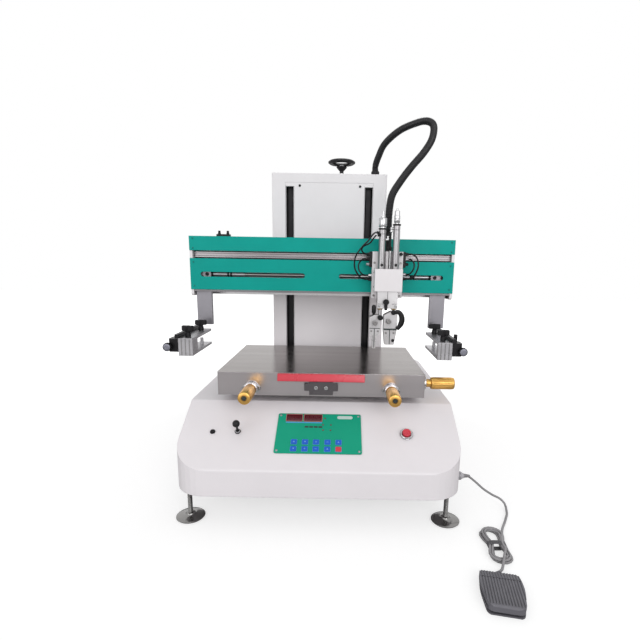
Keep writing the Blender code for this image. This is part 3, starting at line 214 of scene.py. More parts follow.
# Dark marks and lines, also used as painted shade inside the knobs' hex sockets
DARK_MARK_AND_SHADE = finish("dark_mark_and_shade", (0.02, 0.03, 0.03), 0.5, 900, 0.01, 0.1, 0.1, variation=0.15)
MARK_LIGHT = finish("light_mark", (0.22, 0.40, 0.84), 0.45, 900, 0.005, 0.1, 0.1,
                    variation=0.05)
LABEL_LIGHT = finish("light_label", (0.52, 0.66, 0.62), 0.4, 900, 0.005, 0.2, 0.15,
                     variation=0.03)
KEY_FRAME = finish("key_frame_pale", (0.09, 0.36, 0.72), 0.4, 900, 0.01, 0.2, 0.15,
                   variation=0.04)
KEY_BLUE = finish("key_blue", (0.014, 0.125, 0.60), 0.4, 900, 0.01, 0.4, 0.2, specular=0.25,
                  wear_and_highlight=((0.1, 0.25, 0.75), 0.4))
RAIL_STEEL = finish("rail_steel", (0.32, 0.30, 0.31), 0.28, 300, 0.008, 0.4, 0.3, metal=1.0,
                    stretch=(0.05, 1, 1), wear_and_highlight=((0.75, 0.74, 0.75), 0.5))
ALLOY_DARK = finish("channel_alloy", (0.22, 0.21, 0.22), 0.42, 300, 0.01, 0.4, 0.3, metal=1.0,
                    variation=0.08, stretch=(0.05, 1, 1))
FORK_ALLOY = finish("fork_alloy", (0.47, 0.46, 0.48), 0.36, 420, 0.02, 0.6, 0.35, metal=0.9,
                    stretch=(1, 0.12, 1), wear_and_highlight=((0.75, 0.74, 0.76), 0.6))
FOOT_STEEL = finish("plated_foot", (0.27, 0.265, 0.26), 0.22, 600, 0.006, 0.5, 0.35,
                    metal=1.0, variation=0.1, rough_variation=0.06, wear_and_highlight=((0.6, 0.6, 0.6), 0.5))
BRACKET = finish("grey_bracket", (0.11, 0.098, 0.105), 0.4, 600, 0.02, 0.5, 0.3, metal=0.6,
                 variation=0.1, wear_and_highlight=((0.35, 0.34, 0.35), 0.5))
POST_GREY = finish("anodised_grey", (0.285, 0.275, 0.30), 0.40, 500, 0.015, 0.7, 0.3,
                   metal=0.85, variation=0.05, stretch=(1, 1, 0.1),
                   wear_and_highlight=((0.62, 0.61, 0.64), 0.6))
DIAL_GREY = finish("dial_grey", (0.23, 0.23, 0.275), 0.42, 900, 0.01, 0.4, 0.3, metal=0.5,
                   wear_and_highlight=((0.5, 0.5, 0.53), 0.5))
SATIN = finish("satin_steel", (0.38, 0.38, 0.40), 0.38, 900, 0.01, 0.4, 0.25, metal=0.9,
               variation=0.05)
TEAL_DARK = finish("teal_screw", (0.005, 0.20, 0.17), 0.42, 700, 0.02, 0.2, 0.3,
                   variation=0.08, specular=0.3)
BRASS_DARK = finish("bronze_bush", (0.42, 0.27, 0.10), 0.35, 500, 0.01, 0.3, 0.4, metal=1.0,
                    variation=0.1)

LOOKS = {}
for look, names in (
    (WHITE, "console"),
    (WHITE_SHEET, "column column_front carriage carriage_cover end_plate_left end_plate_right"),
    (TEAL, "upper_cover lower_cover"),
    (ALLOY, "beam rod_guide squeegee_holder flood_holder"),
    (STEEL, "bed"),
    (STEEL_DARK, "clamp_rod bed_block bed_saddle"),
    (POST_GREY, "left_post right_post"),
    (FORK_ALLOY, "left_fork right_fork"),
    (BLACK_OXIDE, "guide_rails left_adjuster right_adjuster"),
    (BRUSHED, "squeegee_cylinder flood_cylinder"),
    (BRASS, "bed_knob_left bed_knob_right bed_knob_side"),
    (CHROME, "button_bezel lever_collar left_dial right_dial"
             " foot_front_left foot_front_right foot_rear_left foot_rear_right"),
    (BLACK, "squeegee_knob flood_knob handwheel conduit_gland conduit_rise conduit_drop"
            " air_loop_left air_loop_right ball_lever fuse_cap left_tknob_front"
            " left_tknob_rear right_tknob_front right_tknob_rear"),
    (RED_GLOSS, "red_stop start_button"),
    (PANEL_GREEN, "control_panel"),
    (GREY, "side_plug"),
    (RUBBER, "pedal_base pedal_tread"),
    (SHEATH, "cord_feed cord_tail cord_hank"),
):
    LOOKS.update(dict.fromkeys(names.split(), look))
for name, obj in NODES.items():
    obj.data.materials.clear()
    obj.data.materials.append(LOOKS[name])


# Geometry helpers: lengths are in millimetres here, and in metres only in the meshes

UP, FRONT, BACK, RIGHT = (0, 0, 1), (0, -1, 0), (0, 1, 0), (1, 0, 0)


def box(node):
    """The lowest and highest corners of a CAD node."""
    return [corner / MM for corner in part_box(node)]


def middle(node):
    low, high = box(node)
    return (low + high) / 2


def skin(rings, ends="open"):
    """A mesh over rings of points, whose ends are open, capped or joined to each other."""
    bm = bmesh.new()
    rings = [[bm.verts.new([v * MM for v in point]) for point in ring] for ring in rings]
    count = max(map(len, rings))
    for near, far in zip(rings, rings[1:] + rings[:ends == "joined"]):
        for k in range(count):
            j = (k + 1) % count
            corners = [near[k % len(near)], near[j % len(near)]]
            corners += [far[j % len(far)], far[k % len(far)]]
            bm.faces.new(list(dict.fromkeys(corners)))
    if ends == "capped":
        bm.faces.new(rings[0][::-1])
        bm.faces.new(rings[-1])
    return bm


def prism(outline, axis, start, end):
    """Extrudes a flat outline: along X it is (y, z) pairs, along Y (x, z), along Z (x, y)."""
    place = "XYZ".index(axis)
    return skin([[(*pair[:place], level, *pair[place:]) for pair in outline]
                 for level in (start, end)], "capped")


def block(x0, x1, y0, y1, z0, z1):
    return prism([(x0, y0), (x1, y0), (x1, y1), (x0, y1)], "Z", z0, z1)


def rectangle(half_w, half_h, radius, steps=5):
    """A rounded rectangle round the origin."""
    out = []
    for sx, sy, start in ((1, 1, 0), (-1, 1, 90), (-1, -1, 180), (1, -1, 270)):
        for k in range(steps + 1):
            a = math.radians(start + 90 * k / steps)
            out.append((sx * (half_w - radius) + radius * math.cos(a),
                        sy * (half_h - radius) + radius * math.sin(a)))
    return out


def slab(half_w, half_h, radius, low, high, steps=3):
    return prism(rectangle(half_w, half_h, radius, steps), "Z", low, high)


def polygon(radius, sides):
    turns = [2 * math.pi * k / sides for k in range(sides)]
    return [(radius * math.cos(a), radius * math.sin(a)) for a in turns]


def lathe(profile, segments=20):
    """Turns (radius, height) pairs round Z. A profile that stays off the axis joins up."""
    rings = [[(x, y, height) for x, y in polygon(radius, segments if radius > 0 else 1)]
             for radius, height in profile]
    return skin(rings, "joined" if profile[0][0] > 0 and profile[-1][0] > 0 else "open")


def solid(profile, segments=20):
    """Turns a profile that goes straight in to the axis at both ends."""
    return lathe([(0, profile[0][1]), *profile, (0, profile[-1][1])], segments)


def rod(radius, height, segments=20):
    return solid([(radius, 0), (radius, height)], segments)


def merged(*parts):
    """One mesh of several."""
    whole = bmesh.new()
    for part in parts:
        carrier = bpy.data.meshes.new("carrier")
        part.to_mesh(carrier)
        part.free()
        whole.from_mesh(carrier)
        bpy.data.meshes.remove(carrier)
    return whole


def softened(bm, width, segments=2, above=0.5):
    """Rounds the edges that turn by more than an angle."""
    bmesh.ops.recalc_face_normals(bm, faces=bm.faces)
    sharp = [e for e in bm.edges if len(e.link_faces) == 2 and e.calc_face_angle(0) > above]
    bmesh.ops.bevel(bm, geom=sharp, offset=width * MM, segments=segments, affect="EDGES",
                    clamp_overlap=True)
    return bm


def knurl(radius, depth, count, low, high, soft, segments=1):
    """A round grip with ridges."""
    steps = 4 * count
    outline = []
    for k in range(steps):
        a = 2 * math.pi * k / steps
        r = radius - depth * (0.5 - 0.5 * math.cos(count * a))
        outline.append((r * math.cos(a), r * math.sin(a)))
    return softened(prism(outline, "Z", low, high), soft, segments, 0.9)


def moved(bm, at, direction=UP):
    """Sets a mesh drawn round Z at a point, with Z turned to a direction."""
    facing = Vector(UP).rotation_difference(Vector(direction)).to_matrix().to_4x4()
    bm.transform(Matrix.Translation(Vector(at) * MM) @ facing)
    return bm


def around(count, make):
    """The meshes that make gives for numbers from 0, each turned round Z to its place."""
    out = []
    for k in range(count):
        out.append(make(k))
        out[-1].transform(Matrix.Rotation(2 * math.pi * k / count, 4, "Z"))
    return out


def smooth_route(points, spacing):
    """Evenly spaced points on a smooth curve through the given ones."""
    points = [Vector(p) for p in points]
    fine = []
    ends = [2 * points[0] - points[1]] + points + [2 * points[-1] - points[-2]]
    for a, b, c, d in zip(ends, ends[1:], ends[2:], ends[3:]):
        for k in range(16):
            t = k / 16
            fine.append(0.5 * (2 * b + (c - a) * t + (2 * a - 5 * b + 4 * c - d) * t * t
                               + (3 * b - a - 3 * c + d) * t**3))
    fine.append(points[-1])
    total = length_of(fine)
    count = max(2, round(total / spacing))
    out, walked, target = [fine[0]], 0.0, total / count
    for p, q in zip(fine, fine[1:]):
        step = (q - p).length
        while walked + step >= target - 1e-6 and len(out) < count:
            out.append(p.lerp(q, (target - walked) / step))
            target += total / count
        walked += step
    return out + [fine[-1]]


def length_of(points):
    return sum((q - p).length for p, q in zip(points, points[1:]))


def tube(points, radius, sides=12):
    """A closed round tube along points; the radius is one number, or one for each point."""
    radii = radius if isinstance(radius, list) else [radius] * len(points)
    normal = None
    rings = []
    for i, point in enumerate(points):
        along = (points[min(i + 1, len(points) - 1)] - points[max(i - 1, 0)]).normalized()
        if normal is None:
            normal = along.orthogonal().normalized()
        normal = (normal - along * normal.dot(along)).normalized()
        other = along.cross(normal)
        rings.append([point + (normal * x + other * y) * radii[i]
                      for x, y in polygon(1, sides)])
    return skin(rings, "capped")


def piece(name, form, look, body, *replaced, angle=35.0):
    """Makes a piece that rides on a CAD body, and may stand for CAD nodes."""
    bm = merged(*form) if isinstance(form, list) else form
    bmesh.ops.recalc_face_normals(bm, faces=bm.faces)
    mesh = bpy.data.meshes.new(name)
    bm.to_mesh(mesh)
    bm.free()
    mesh.shade_smooth()
    mesh.set_sharp_from_angle(angle=math.radians(angle))
    mesh.materials.append(look)
    obj = bpy.data.objects.new(name, mesh)
    bpy.context.scene.collection.objects.link(obj)
    if body:
        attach(obj, body)
    if replaced:
        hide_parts(*replaced)
    return obj


def cross_screw(radius, height):
    """A domed screw head round Z with a cross slot."""
    dome = [(radius, 0), (radius, height * 0.45), (radius * 0.8, height * 0.85),
            (radius * 0.45, height)]
    long, wide, low, high = radius * 0.62, radius * 0.13, height * 0.9, height * 1.06
    return merged(solid(dome), block(-long, long, -wide, wide, low, high),
                  block(-wide, wide, -long, long, low, high))


def socket_screw(radius, height):
    """A screw head round Z with a round socket."""
    return solid([(radius, 0), (radius, height * 0.85), (radius * 0.9, height),
                  (radius * 0.5, height), (radius * 0.46, height * 0.35)])


def sockets(radius, height, spots, way=FRONT):
    return [moved(socket_screw(radius, height), spot, way) for spot in spots]


def hex_nut(across, height):
    """A hexagon nut round Z with rounded corners."""
    nut = prism(polygon(across / math.sqrt(3), 6), "Z", 0, height)
    return softened(nut, across * 0.05)


# Places that the pieces are set from

CONSOLE_LOW, CONSOLE_HIGH = box("console")
BASE_FRONT = -150
SHIFT = Vector(((CONSOLE_LOW.x + CONSOLE_HIGH.x) / 2, CONSOLE_LOW.y - BASE_FRONT, 0))
DECK = CONSOLE_HIGH.z
CREASE_Y = 25
LIP_TOP = 133
SLOPE = math.atan2(DECK - LIP_TOP, CREASE_Y - BASE_FRONT)
NORMAL = Vector((0, -math.sin(SLOPE), math.cos(SLOPE)))
PANEL_OUT = 2.3
GAP = 0.3


def shifted(points):
    """Route points written as in the source of the part, set in the frame."""
    return [Vector(p) + SHIFT for p in points]


def on_face(x, down, out=0.0):
    """A point on the sloping control face, by its distance down from the crease."""
    along = Vector((0, -math.cos(SLOPE), -math.sin(SLOPE)))
    return Vector((x, CREASE_Y, DECK)) + SHIFT + along * down + NORMAL * out


def laid(bm, x, down):
    """Sets a mesh drawn flat round the origin onto the control panel."""
    place = Matrix.Translation(on_face(x, down, PANEL_OUT) * MM)
    bm.transform(place @ Matrix.Rotation(SLOPE, 4, "X"))
    return bm


# Foot switch lead: one cord from its plug, round the tied hank, to the foot switch

LEAD_R = 2.6
HANK_LOW, HANK_HIGH = box("cord_hank")
HANK_MID = (HANK_LOW + HANK_HIGH) / 2
HANK_HALF = (HANK_HIGH.y - HANK_LOW.y) / 2
OUTER = (HANK_HIGH.x - HANK_LOW.x) / 2 - LEAD_R
INNER = OUTER - 2 * LEAD_R
LAYERS = [(2 * k + 1) * LEAD_R + 0.4 for k in range(3)]
FAN = math.radians(-6)
TIE_Y = -6
WAIST_REACH = 21.5
WAIST_SQUEEZE = 6.8
WAIST_LIFT = 2.3


def on_hank(turn, radius, height):
    """A point on a turn of the hank: 0 is the middle of its right run, 0.25 its front end."""
    straight = HANK_HALF - LEAD_R - OUTER
    bend = math.pi * radius
    walked = (turn % 1.0) * (4 * straight + 2 * bend)
    if walked < straight:
        at = (radius, -walked)
    elif walked < straight + bend:
        a = (walked - straight) / radius
        at = (radius * math.cos(a), -straight - radius * math.sin(a))
    elif walked < 3 * straight + bend:
        at = (-radius, -straight + (walked - straight - bend))
    elif walked < 3 * straight + 2 * bend:
        a = (walked - 3 * straight - bend) / radius
        at = (-radius * math.cos(a), straight + radius * math.sin(a))
    else:
        at = (radius, straight - (walked - 3 * straight - 2 * bend))
    near = math.exp(-((at[1] - TIE_Y) / WAIST_REACH) ** 2)
    squeeze = math.copysign(WAIST_SQUEEZE * near, at[0])
    spot = Vector((at[0] - squeeze, at[1] - TIE_Y, height + WAIST_LIFT * near))
    fan = FAN * (height - LAYERS[0]) / (LAYERS[1] - LAYERS[0])
    spot.rotate(Matrix.Rotation(fan, 3, "Z"))
    return spot + Vector((HANK_MID.x, HANK_MID.y + TIE_Y, 0))


def eased(turn, start):
    """Rises from 0 to 1 within a bit more than a quarter turn."""
    t = min(1.0, max(0.0, (turn - start) / 0.28))
    return t * t * (3 - 2 * t)


PLUG_LOW, PLUG_HIGH = box("side_plug")
PLUG_END = Vector((PLUG_LOW.x, (PLUG_LOW.y + PLUG_HIGH.y) / 2, (PLUG_LOW.z + PLUG_HIGH.z) / 2))
PLUG_AT = Vector((PLUG_HIGH.x, PLUG_END.y, PLUG_END.z))
FLAT = LAYERS[0]
lead = smooth_route([PLUG_AT - Vector((4, 0, 0)), PLUG_AT + Vector((10, 0, -0.5))] + shifted([
    (370.2, -60.5, 69.9), (390.9, -57.5, 50.8), (415.7, -53.5, 33.2), (435.8, -51, 22.1),
    (446.4, -57.2, 11.6), (445.9, -70.5, 4.2), (441.9, -85, FLAT), (433.6, -102, FLAT),
    (423, -122, FLAT), (411, -143, FLAT), (402, -165, FLAT), (396.2, -188, FLAT),
]), 9)
TURNS, STEPS = 4, 30
for k in range(3, TURNS * STEPS - 3):
    turn = k / STEPS
    inwards = eased(turn, 0.62) - eased(turn, 2.62)
    wobble = 0.18 * math.sin(9 * turn) * math.sin(2 * math.pi * turn) ** 2
    lead.append(on_hank(turn, OUTER + (INNER - OUTER) * inwards + wobble,
                        LAYERS[0] + (LAYERS[1] - LAYERS[0]) * eased(turn, 1.62)))
tail = box("cord_tail")[0]
pedal_end = Vector((tail.x + LEAD_R, tail.y + 0.6, 5))
out_x = HANK_MID.x - OUTER * 0.62
lead += smooth_route([
    lead[-1],
    on_hank(0, OUTER * 0.86, LAYERS[1] + 2.2),
    (HANK_MID.x + OUTER * 0.55, HANK_MID.y - HANK_HALF * 0.42, LAYERS[2] - 0.6),
    (HANK_MID.x + OUTER * 0.18, HANK_MID.y - HANK_HALF * 0.72, LAYERS[2]),
    (HANK_MID.x - OUTER * 0.12, HANK_LOW.y + 3, LAYERS[2] - 0.6),
    (HANK_MID.x - OUTER * 0.36, HANK_LOW.y - 8, LAYERS[1] - 0.2),
    (out_x, HANK_LOW.y - 18, LAYERS[0] + 1.2),
    pedal_end.lerp(Vector((out_x, HANK_LOW.y - 18, 5)), 0.45),
    pedal_end,
], 7)[1:]
foot_lead = piece("foot_switch_lead", tube(lead, LEAD_R, 14), SHEATH, "machine",
                  "cord_feed", "cord_hank", "cord_tail", angle=60)

# The tie: wire wraps round the waist of the hank, on a rounded rectangle

TIE_R = 1.1
WRAPS, WRAP_STEPS = 4, 28
half_x = OUTER + LEAD_R + TIE_R - WAIST_SQUEEZE
low = TIE_R + 0.2
half_z = (LAYERS[1] + WAIST_LIFT + LEAD_R + TIE_R - low) / 2
wire = []
for k in range(WRAPS * WRAP_STEPS + 1):
    a = 2 * math.pi * k / WRAP_STEPS + 0.6
    x, z = math.cos(a), math.sin(a)
    grow = (abs(x) ** 3.2 + abs(z) ** 3.2) ** (-1 / 3.2)
    wire.append(Vector((HANK_MID.x + half_x * x * grow,
                        HANK_MID.y + TIE_Y - 6.2 + 3.1 * k / WRAP_STEPS + 2.2 * z,
                        low + half_z + half_z * z * grow)))
piece("lead_tie", tube(wire, TIE_R, 10), SHEATH_DARK, "machine", angle=60)

# Strain reliefs at both ends of the lead, and the plug's ribbed body

RIBS = 4
relief = [(4.2, 0), (4.8, 0.8)]
plug_body = [(9.8, 0), (10, 0.6), (10, 1.8), (9.2, 2.2)]
for k in range(RIBS):
    z, wide = 1.5 + 3.2 * k, 4.9 - 0.45 * k
    relief += [(wide, z), (wide, z + 1.8), (wide - 0.9, z + 2.1), (wide - 0.9, z + 2.9)]
    z = 3 + 2.1 * k
    plug_body += [(9.2, z), (9.9, z + 0.4), (9.9, z + 1.2), (9.2, z + 1.6)]
relief += [(3.1, 15), (LEAD_R + 0.2, 15.6), (LEAD_R + 0.2, 0)]
plug_body += [(8.8, 12.5), (6.6, 15), (6, 17.2)]
piece("plug_body", moved(solid(plug_body, 32), PLUG_END, RIGHT), GREY, "machine", "side_plug")
piece("plug_relief", moved(lathe(relief, 24), PLUG_AT - Vector((0.8, 0, 0)), (1, 0, -0.04)),
      SHEATH, "machine")
short = [(r * 0.85, h * 0.6) for r, h in relief[:-1]] + [(LEAD_R + 0.2, 0)]
back_way = (lead[-3] - lead[-1]).normalized()
piece("switch_relief", moved(lathe(short, 24), lead[-1] + back_way * 0.6, back_way),
      RUBBER, "machine")

# Conduit: corrugated tube in two pieces

CAR_LOW, CAR_HIGH = box("carriage")
CAR_X = (CAR_LOW.x + CAR_HIGH.x) / 2
CAR_FRONT = CAR_LOW.y
CONDUIT_Y = CAR_FRONT + 12
GLAND_LOW, GLAND_HIGH = box("conduit_gland")
GLAND_AT = middle("conduit_gland")
CONDUIT_R = 9.8
CORRUGATION = 3.6
PEAK = (274.9, 300, 960)
conduit = smooth_route([
    (GLAND_AT.x, GLAND_AT.y, GLAND_HIGH.z - 4), (GLAND_AT.x, GLAND_AT.y, GLAND_HIGH.z + 15.3),
    *shifted([
        (151, 402, 888), (166.5, 375, 918), (203.5, 337, 944.5), (247.5, 312, 958.5), PEAK,
        (290, 284, 944), (283.8, 262, 906), (260, 238, 866), (223.2, 215, 822),
        (193.5, 195, 782), (172, 180, 745),
    ]),
    *[(CAR_X, CONDUIT_Y, z) for z in (701, 653, CAR_HIGH.z + 6)],
], CORRUGATION / 4)
peak = shifted([PEAK])[0]
top = min(range(len(conduit)), key=lambda k: (conduit[k] - peak).length)
for name, node, line, ends in (
    ("conduit_to_peak", "conduit_rise", conduit[:top + 1], ("machine", "head")),
    ("conduit_to_carriage", "conduit_drop", conduit[top:], ("head", "carriage_body")),
):
    radii = [CONDUIT_R if k % 4 < 2 else CONDUIT_R - 1.3 for k in range(len(line))]
    hose = piece(name, tube(line, radii, 20), CONDUIT_BLACK, None, node, angle=80)
    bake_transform(hose)

# Control face: display windows, lamps, buttons, screws and a blank plate on the panel

WINDOWS = ((-81.5, -42.5), (-39.5, 4.5))
WINDOW_DOWN = 55.5
DIGITS = 4
SEGMENTS = ((0, 1), (0, 0), (0, -1), (-1, 0.5), (1, 0.5), (-1, -0.5), (1, -0.5))
frames, glasses, segments = [], [], []
for x0, x1 in WINDOWS:
    mid, half_w = (x0 + x1) / 2, (x1 - x0) / 2
    outer, inner = rectangle(half_w, 10.8, 1.2, 3), rectangle(half_w - 1.2, 9.6, 0.6, 3)
    rim = [[(x, y, z) for x, y in loop]
           for loop, z in ((outer, 0), (outer, 1.1), (inner, 1.1), (inner, 0.3))]
    frames.append(laid(skin(rim, "joined"), mid, WINDOW_DOWN))
    half_w -= 1.3
    glasses.append(laid(slab(half_w, 9.5, 0.5, 0, 0.5, 2), mid, WINDOW_DOWN))
    step = 2 * half_w / (DIGITS + 0.4)
    w, h, t = step * 0.29, 5, 0.75
    for k in range(DIGITS):
        cx = mid + (k - (DIGITS - 1) / 2) * step
        for sx, sy in SEGMENTS:
            bw, bh = (t / 2, h / 2 - 0.5) if sx else (w - 0.5, t / 2)
            bar = block(sx * w - bw, sx * w + bw, sy * h - bh, sy * h + bh, 0.5, 0.6)
            segments.append(laid(bar, cx + sy * 0.6, WINDOW_DOWN))
piece("window_frames", frames, RED_FRAME, "machine")
strip = softened(slab(43, 1.4, 0.6, 0, 0.4, 5), 0.1)
piece("window_strip", laid(strip, -38.5, 69.2), KEY_FRAME, "machine")
piece("window_glass", glasses, WINDOW_GLASS, "machine")
piece("window_segments", segments, SEGMENT_OFF, "machine")
lamp = [(0, 0), (1.9, 0), (1.9, 0.6), (1.4, 0.6), (1.3, 1.2), (0.8, 1.7), (0, 1.9)]
lamps = [laid(lathe(lamp, 16), x, down)
         for x, down in ((11, 56), (7, 75.5), (25.5, 75.5), (7.5, 91), (25, 91))]
piece("panel_lamps", lamps, LAMP_RED, "machine")
strips = [laid(slab(4.4, 2.2, 0.6, 0, 0.35), -31.5 + 10.8 * k, 82) for k in range(4)]
piece("panel_marks", strips, DARK_MARK_AND_SHADE, "machine")
label = softened(slab(18.5, 4.8, 4.5, 0, 0.5, 5), 0.2)
piece("panel_label", laid(label, 58.5, 52.5), LABEL_LIGHT, "machine")
keys, pads, signs = [], [], []
size, low, high = 2.2, 1.6, 1.72
for row, down in enumerate((125.5, 144.5)):
    for k, x in enumerate((-57.3, -32, -7, 19, 44)):
        pads.append(laid(softened(slab(7.5, 7.5, 1.6, 0, 0.5), 0.2), x, down))
        keys.append(laid(softened(slab(6.7, 6.7, 1.6, 0.4, 1.6, 4), 0.5, 3), x, down))
        way = (row * 5 + k) % 4
        if (row, k) == (1, 4):
            continue
        if way < 2:
            mark = prism([(-size, -size * 0.7), (size, -size * 0.7), (0, size * 0.9)], "Z",
                         low, high)
            mark.transform(Matrix.Rotation(way * math.pi, 4, "Z"))
        else:
            mark = block(-size, size, -0.4, 0.4, low, high)
            if way == 2:
                mark = merged(mark, block(-0.4, 0.4, -size, size, low, high))
        signs.append(laid(mark, x, down))
red_key = keys.pop()
piece("key_frames", pads, KEY_FRAME, "machine")
piece("blue_keys", keys, KEY_BLUE, "machine")
piece("key_marks", signs, MARK_LIGHT, "machine")
piece("red_key", red_key, RED_GLOSS, "machine")
screws = [laid(cross_screw(2.7, 1.4), x, down)
          for x, down in ((-94.5, 48.5), (90.5, 48.5), (-94.5, 149.5), (90.5, 149.5))]
piece("panel_screws", screws, SATIN, "machine")

# Start button: ridged bezel, and a domed cap with a shallow dish

button_at = on_face(middle("button_bezel").x - SHIFT.x, 98.5)
bezel = lathe([(10.5, 0.3), (15, 0.3), (15.2, 1), (15.2, 1.6), (14.6, 2), (14.6, 5.2),
               (13.8, 6.2), (12, 6.4), (10.8, 5.8), (10.5, 5)], 48)
ridges = around(36, lambda k: block(14.3, 15, -0.55, 0.55, 2.2, 5))
piece("bezel_ring", moved(merged(bezel, *ridges), button_at, NORMAL), CHROME, "machine",
      "button_bezel")
dish = [(0, 9.8), (4.5, 10), (7, 10.8), (8.4, 11.2), (9.4, 10.6), (9.8, 9.4), (9.8, 4.8),
        (0, 4.8)]
piece("button_cap", moved(lathe(dish, 40), button_at, NORMAL), RED_GLOSS, "button",
      "start_button")

# Nut and rim of the ball lever's collar, and the small cap beside it

lever_at = on_face(middle("lever_collar").x - SHIFT.x, 98)
piece("lever_nut", moved(moved(hex_nut(13.2, 2.6), (0, 0, GAP)), lever_at, NORMAL),
      BLACK_OXIDE, "machine", "lever_collar")
rim = lathe([(4.4, 2.8), (6, 2.8), (6, 4), (5.2, 5), (4.4, 5)], 28)
piece("lever_rim", moved(rim, lever_at, NORMAL), SATIN, "machine")
cap = merged(solid([(6.2, GAP), (6.2, 1.2), (5.2, 1.6), (5.2, 1.8)], 24),
             knurl(4.9, 0.4, 14, 1.7, 4.2, 0.3), block(-3.5, 3.5, -0.6, 0.6, 4, 4.6))
piece("side_cap", moved(cap, on_face(middle("fuse_cap").x - SHIFT.x, 99.5), NORMAL), BLACK,
      "machine", "fuse_cap")

# Levelling feet: threaded rods, lock nuts and rubber pads

THREAD = 1.5
for foot in [f"foot_{end}_{side}" for end in ("front", "rear") for side in ("left", "right")]:
    a, b = box(foot)
    mid = Vector(((a.x + b.x) / 2, (a.y + b.y) / 2, 0))
    disc_r = (b.x - a.x) / 2
    profile = [(disc_r * 0.94, 2.2), (disc_r, 3), (disc_r, 4.2), (disc_r * 0.96, 5.2),
               (disc_r * 0.62, 6.4), (disc_r * 0.42, 7.4), (10, 9.8), (9.2, 11.8),
               (6.2, 12.4)]
    z = 12.4
    while z < b.z - 2:
        profile += [(5.2, z), (4.5, z + THREAD / 2)]
        z += THREAD
    profile.append((4.8, b.z))
    piece(f"{foot}_rod", moved(solid(profile, 36), mid), FOOT_STEEL, "machine", foot)
    pad = [(disc_r * 0.90, 0), (disc_r * 0.93, 0.8), (disc_r * 0.93, 2.1)]
    piece(f"{foot}_pad", moved(solid(pad, 36), mid), BLACK, "machine")
    piece(f"{foot}_nut", moved(hex_nut(18.5, 8), mid + Vector((0, 0, b.z - 8.4))),
          STEEL_DARK, "machine")

# Bed: stop strip with its bracket, collars and fluted knobs

STOP_LOW, STOP_HIGH = box("red_stop")
bed_x = (STOP_LOW.x + STOP_HIGH.x) / 2
face_y = STOP_HIGH.y
bar = prism([(face_y, STOP_HIGH.z), (face_y - 5.5, STOP_HIGH.z), (STOP_LOW.y, STOP_HIGH.z - 15),
             (STOP_LOW.y, STOP_HIGH.z - 17), (face_y, STOP_HIGH.z - 17)],
            "X", STOP_LOW.x, STOP_HIGH.x)
piece("stop_bar", softened(bar, 1.1, 3), RED_GLOSS, "bed_body", "red_stop")
low_z, high_z = STOP_LOW.z, STOP_HIGH.z - 17.5
TAB, EAR = 28.5, 40.5
right_side = [(TAB, low_z), (TAB, low_z + 10), (EAR, low_z + 10), (EAR, low_z + 28),
              (TAB, low_z + 28), (TAB, high_z)]
plan = [(-TAB, low_z), *right_side, *[(-x, z) for x, z in right_side[:0:-1]]]
bracket = prism([(bed_x + x, z) for x, z in plan], "Y", face_y - 6.8, face_y - 0.2)
piece("stop_bracket", softened(bracket, 0.7), BRACKET, "bed_body")
for name, x in (("left", bed_x - 12), ("right", bed_x + 12)):
    head = moved(socket_screw(4.8, 3), (x, face_y - 6.8, low_z + 18), FRONT)
    piece(f"bracket_screw_{name}", head, CHROME, "bed_body")
for side, way in (("left", FRONT), ("right", FRONT), ("side", RIGHT)):
    name = f"bed_knob_{side}"
    a, b = box(name)
    way = Vector(way)
    reach = abs((b - a).dot(way))
    start = (a + b) / 2 - way * reach / 2
    radius = (b.z - a.z) / 2 + 0.8
    profile = [(9.8, 0), (10, 0.6), (10, 11.2), (radius - 3, 12.2), (radius - 1.2, 12.6),
               (radius - 0.4, 14), (radius - 0.4, reach - 3.4), (radius - 1.3, reach - 1),
               (radius - 2.8, reach), (6.8, reach), (6, reach - 1.2), (5.8, reach - 3)]
    line = [Vector((radius - 0.65, 0, h)) for h in (16.5, 18, reach - 8, reach - 6.2)]
    flutes = around(24, lambda k: tube(line, [0.3, 0.55, 0.55, 0.3], 8))
    piece(f"{name}_barrel", moved(merged(solid(profile, 48), *flutes), start, way), BRASS,
          f"knob_{side}", name)
    # Painted shade: a dark hexagon set below the knob's end stands for the shade inside the hex
    # socket.
    socket = prism(polygon(5.6, 6), "Z", reach - 3.2, reach - 1.4)
    piece(f"{name}_socket", moved(socket, start, way), DARK_MARK_AND_SHADE, f"knob_{side}")
    base = start - way * 12.3
    boss_r = radius + 1.2
    plate = prism([(x * 1.22, y * 0.72) for x, y in polygon(boss_r * 1.12, 40)], "Z", 0, 3.2)
    boss = lathe([(0, 0), (boss_r + 0.8, 3), (boss_r + 0.8, 9), (boss_r, 10), (0, 10)], 36)
    collar = [moved(softened(plate, 0.6), base + way * 0.3, way), moved(boss, base, way)]
    piece(f"{name}_collar", collar, CHROME, "bed_body")
    facing = Vector(UP).rotation_difference(way)
    for k, sign in enumerate((-1, 1)):
        spot = base + way * 3.3 + facing @ Vector((sign * boss_r * 1.20, 0, 0))
        piece(f"{name}_screw_{k + 1}", moved(cross_screw(2.4, 1.5), spot, way), STEEL_DARK,
              "bed_body")

# Column: screws and slot lips of the front sheet, handwheel sleeve and nut, and the gland

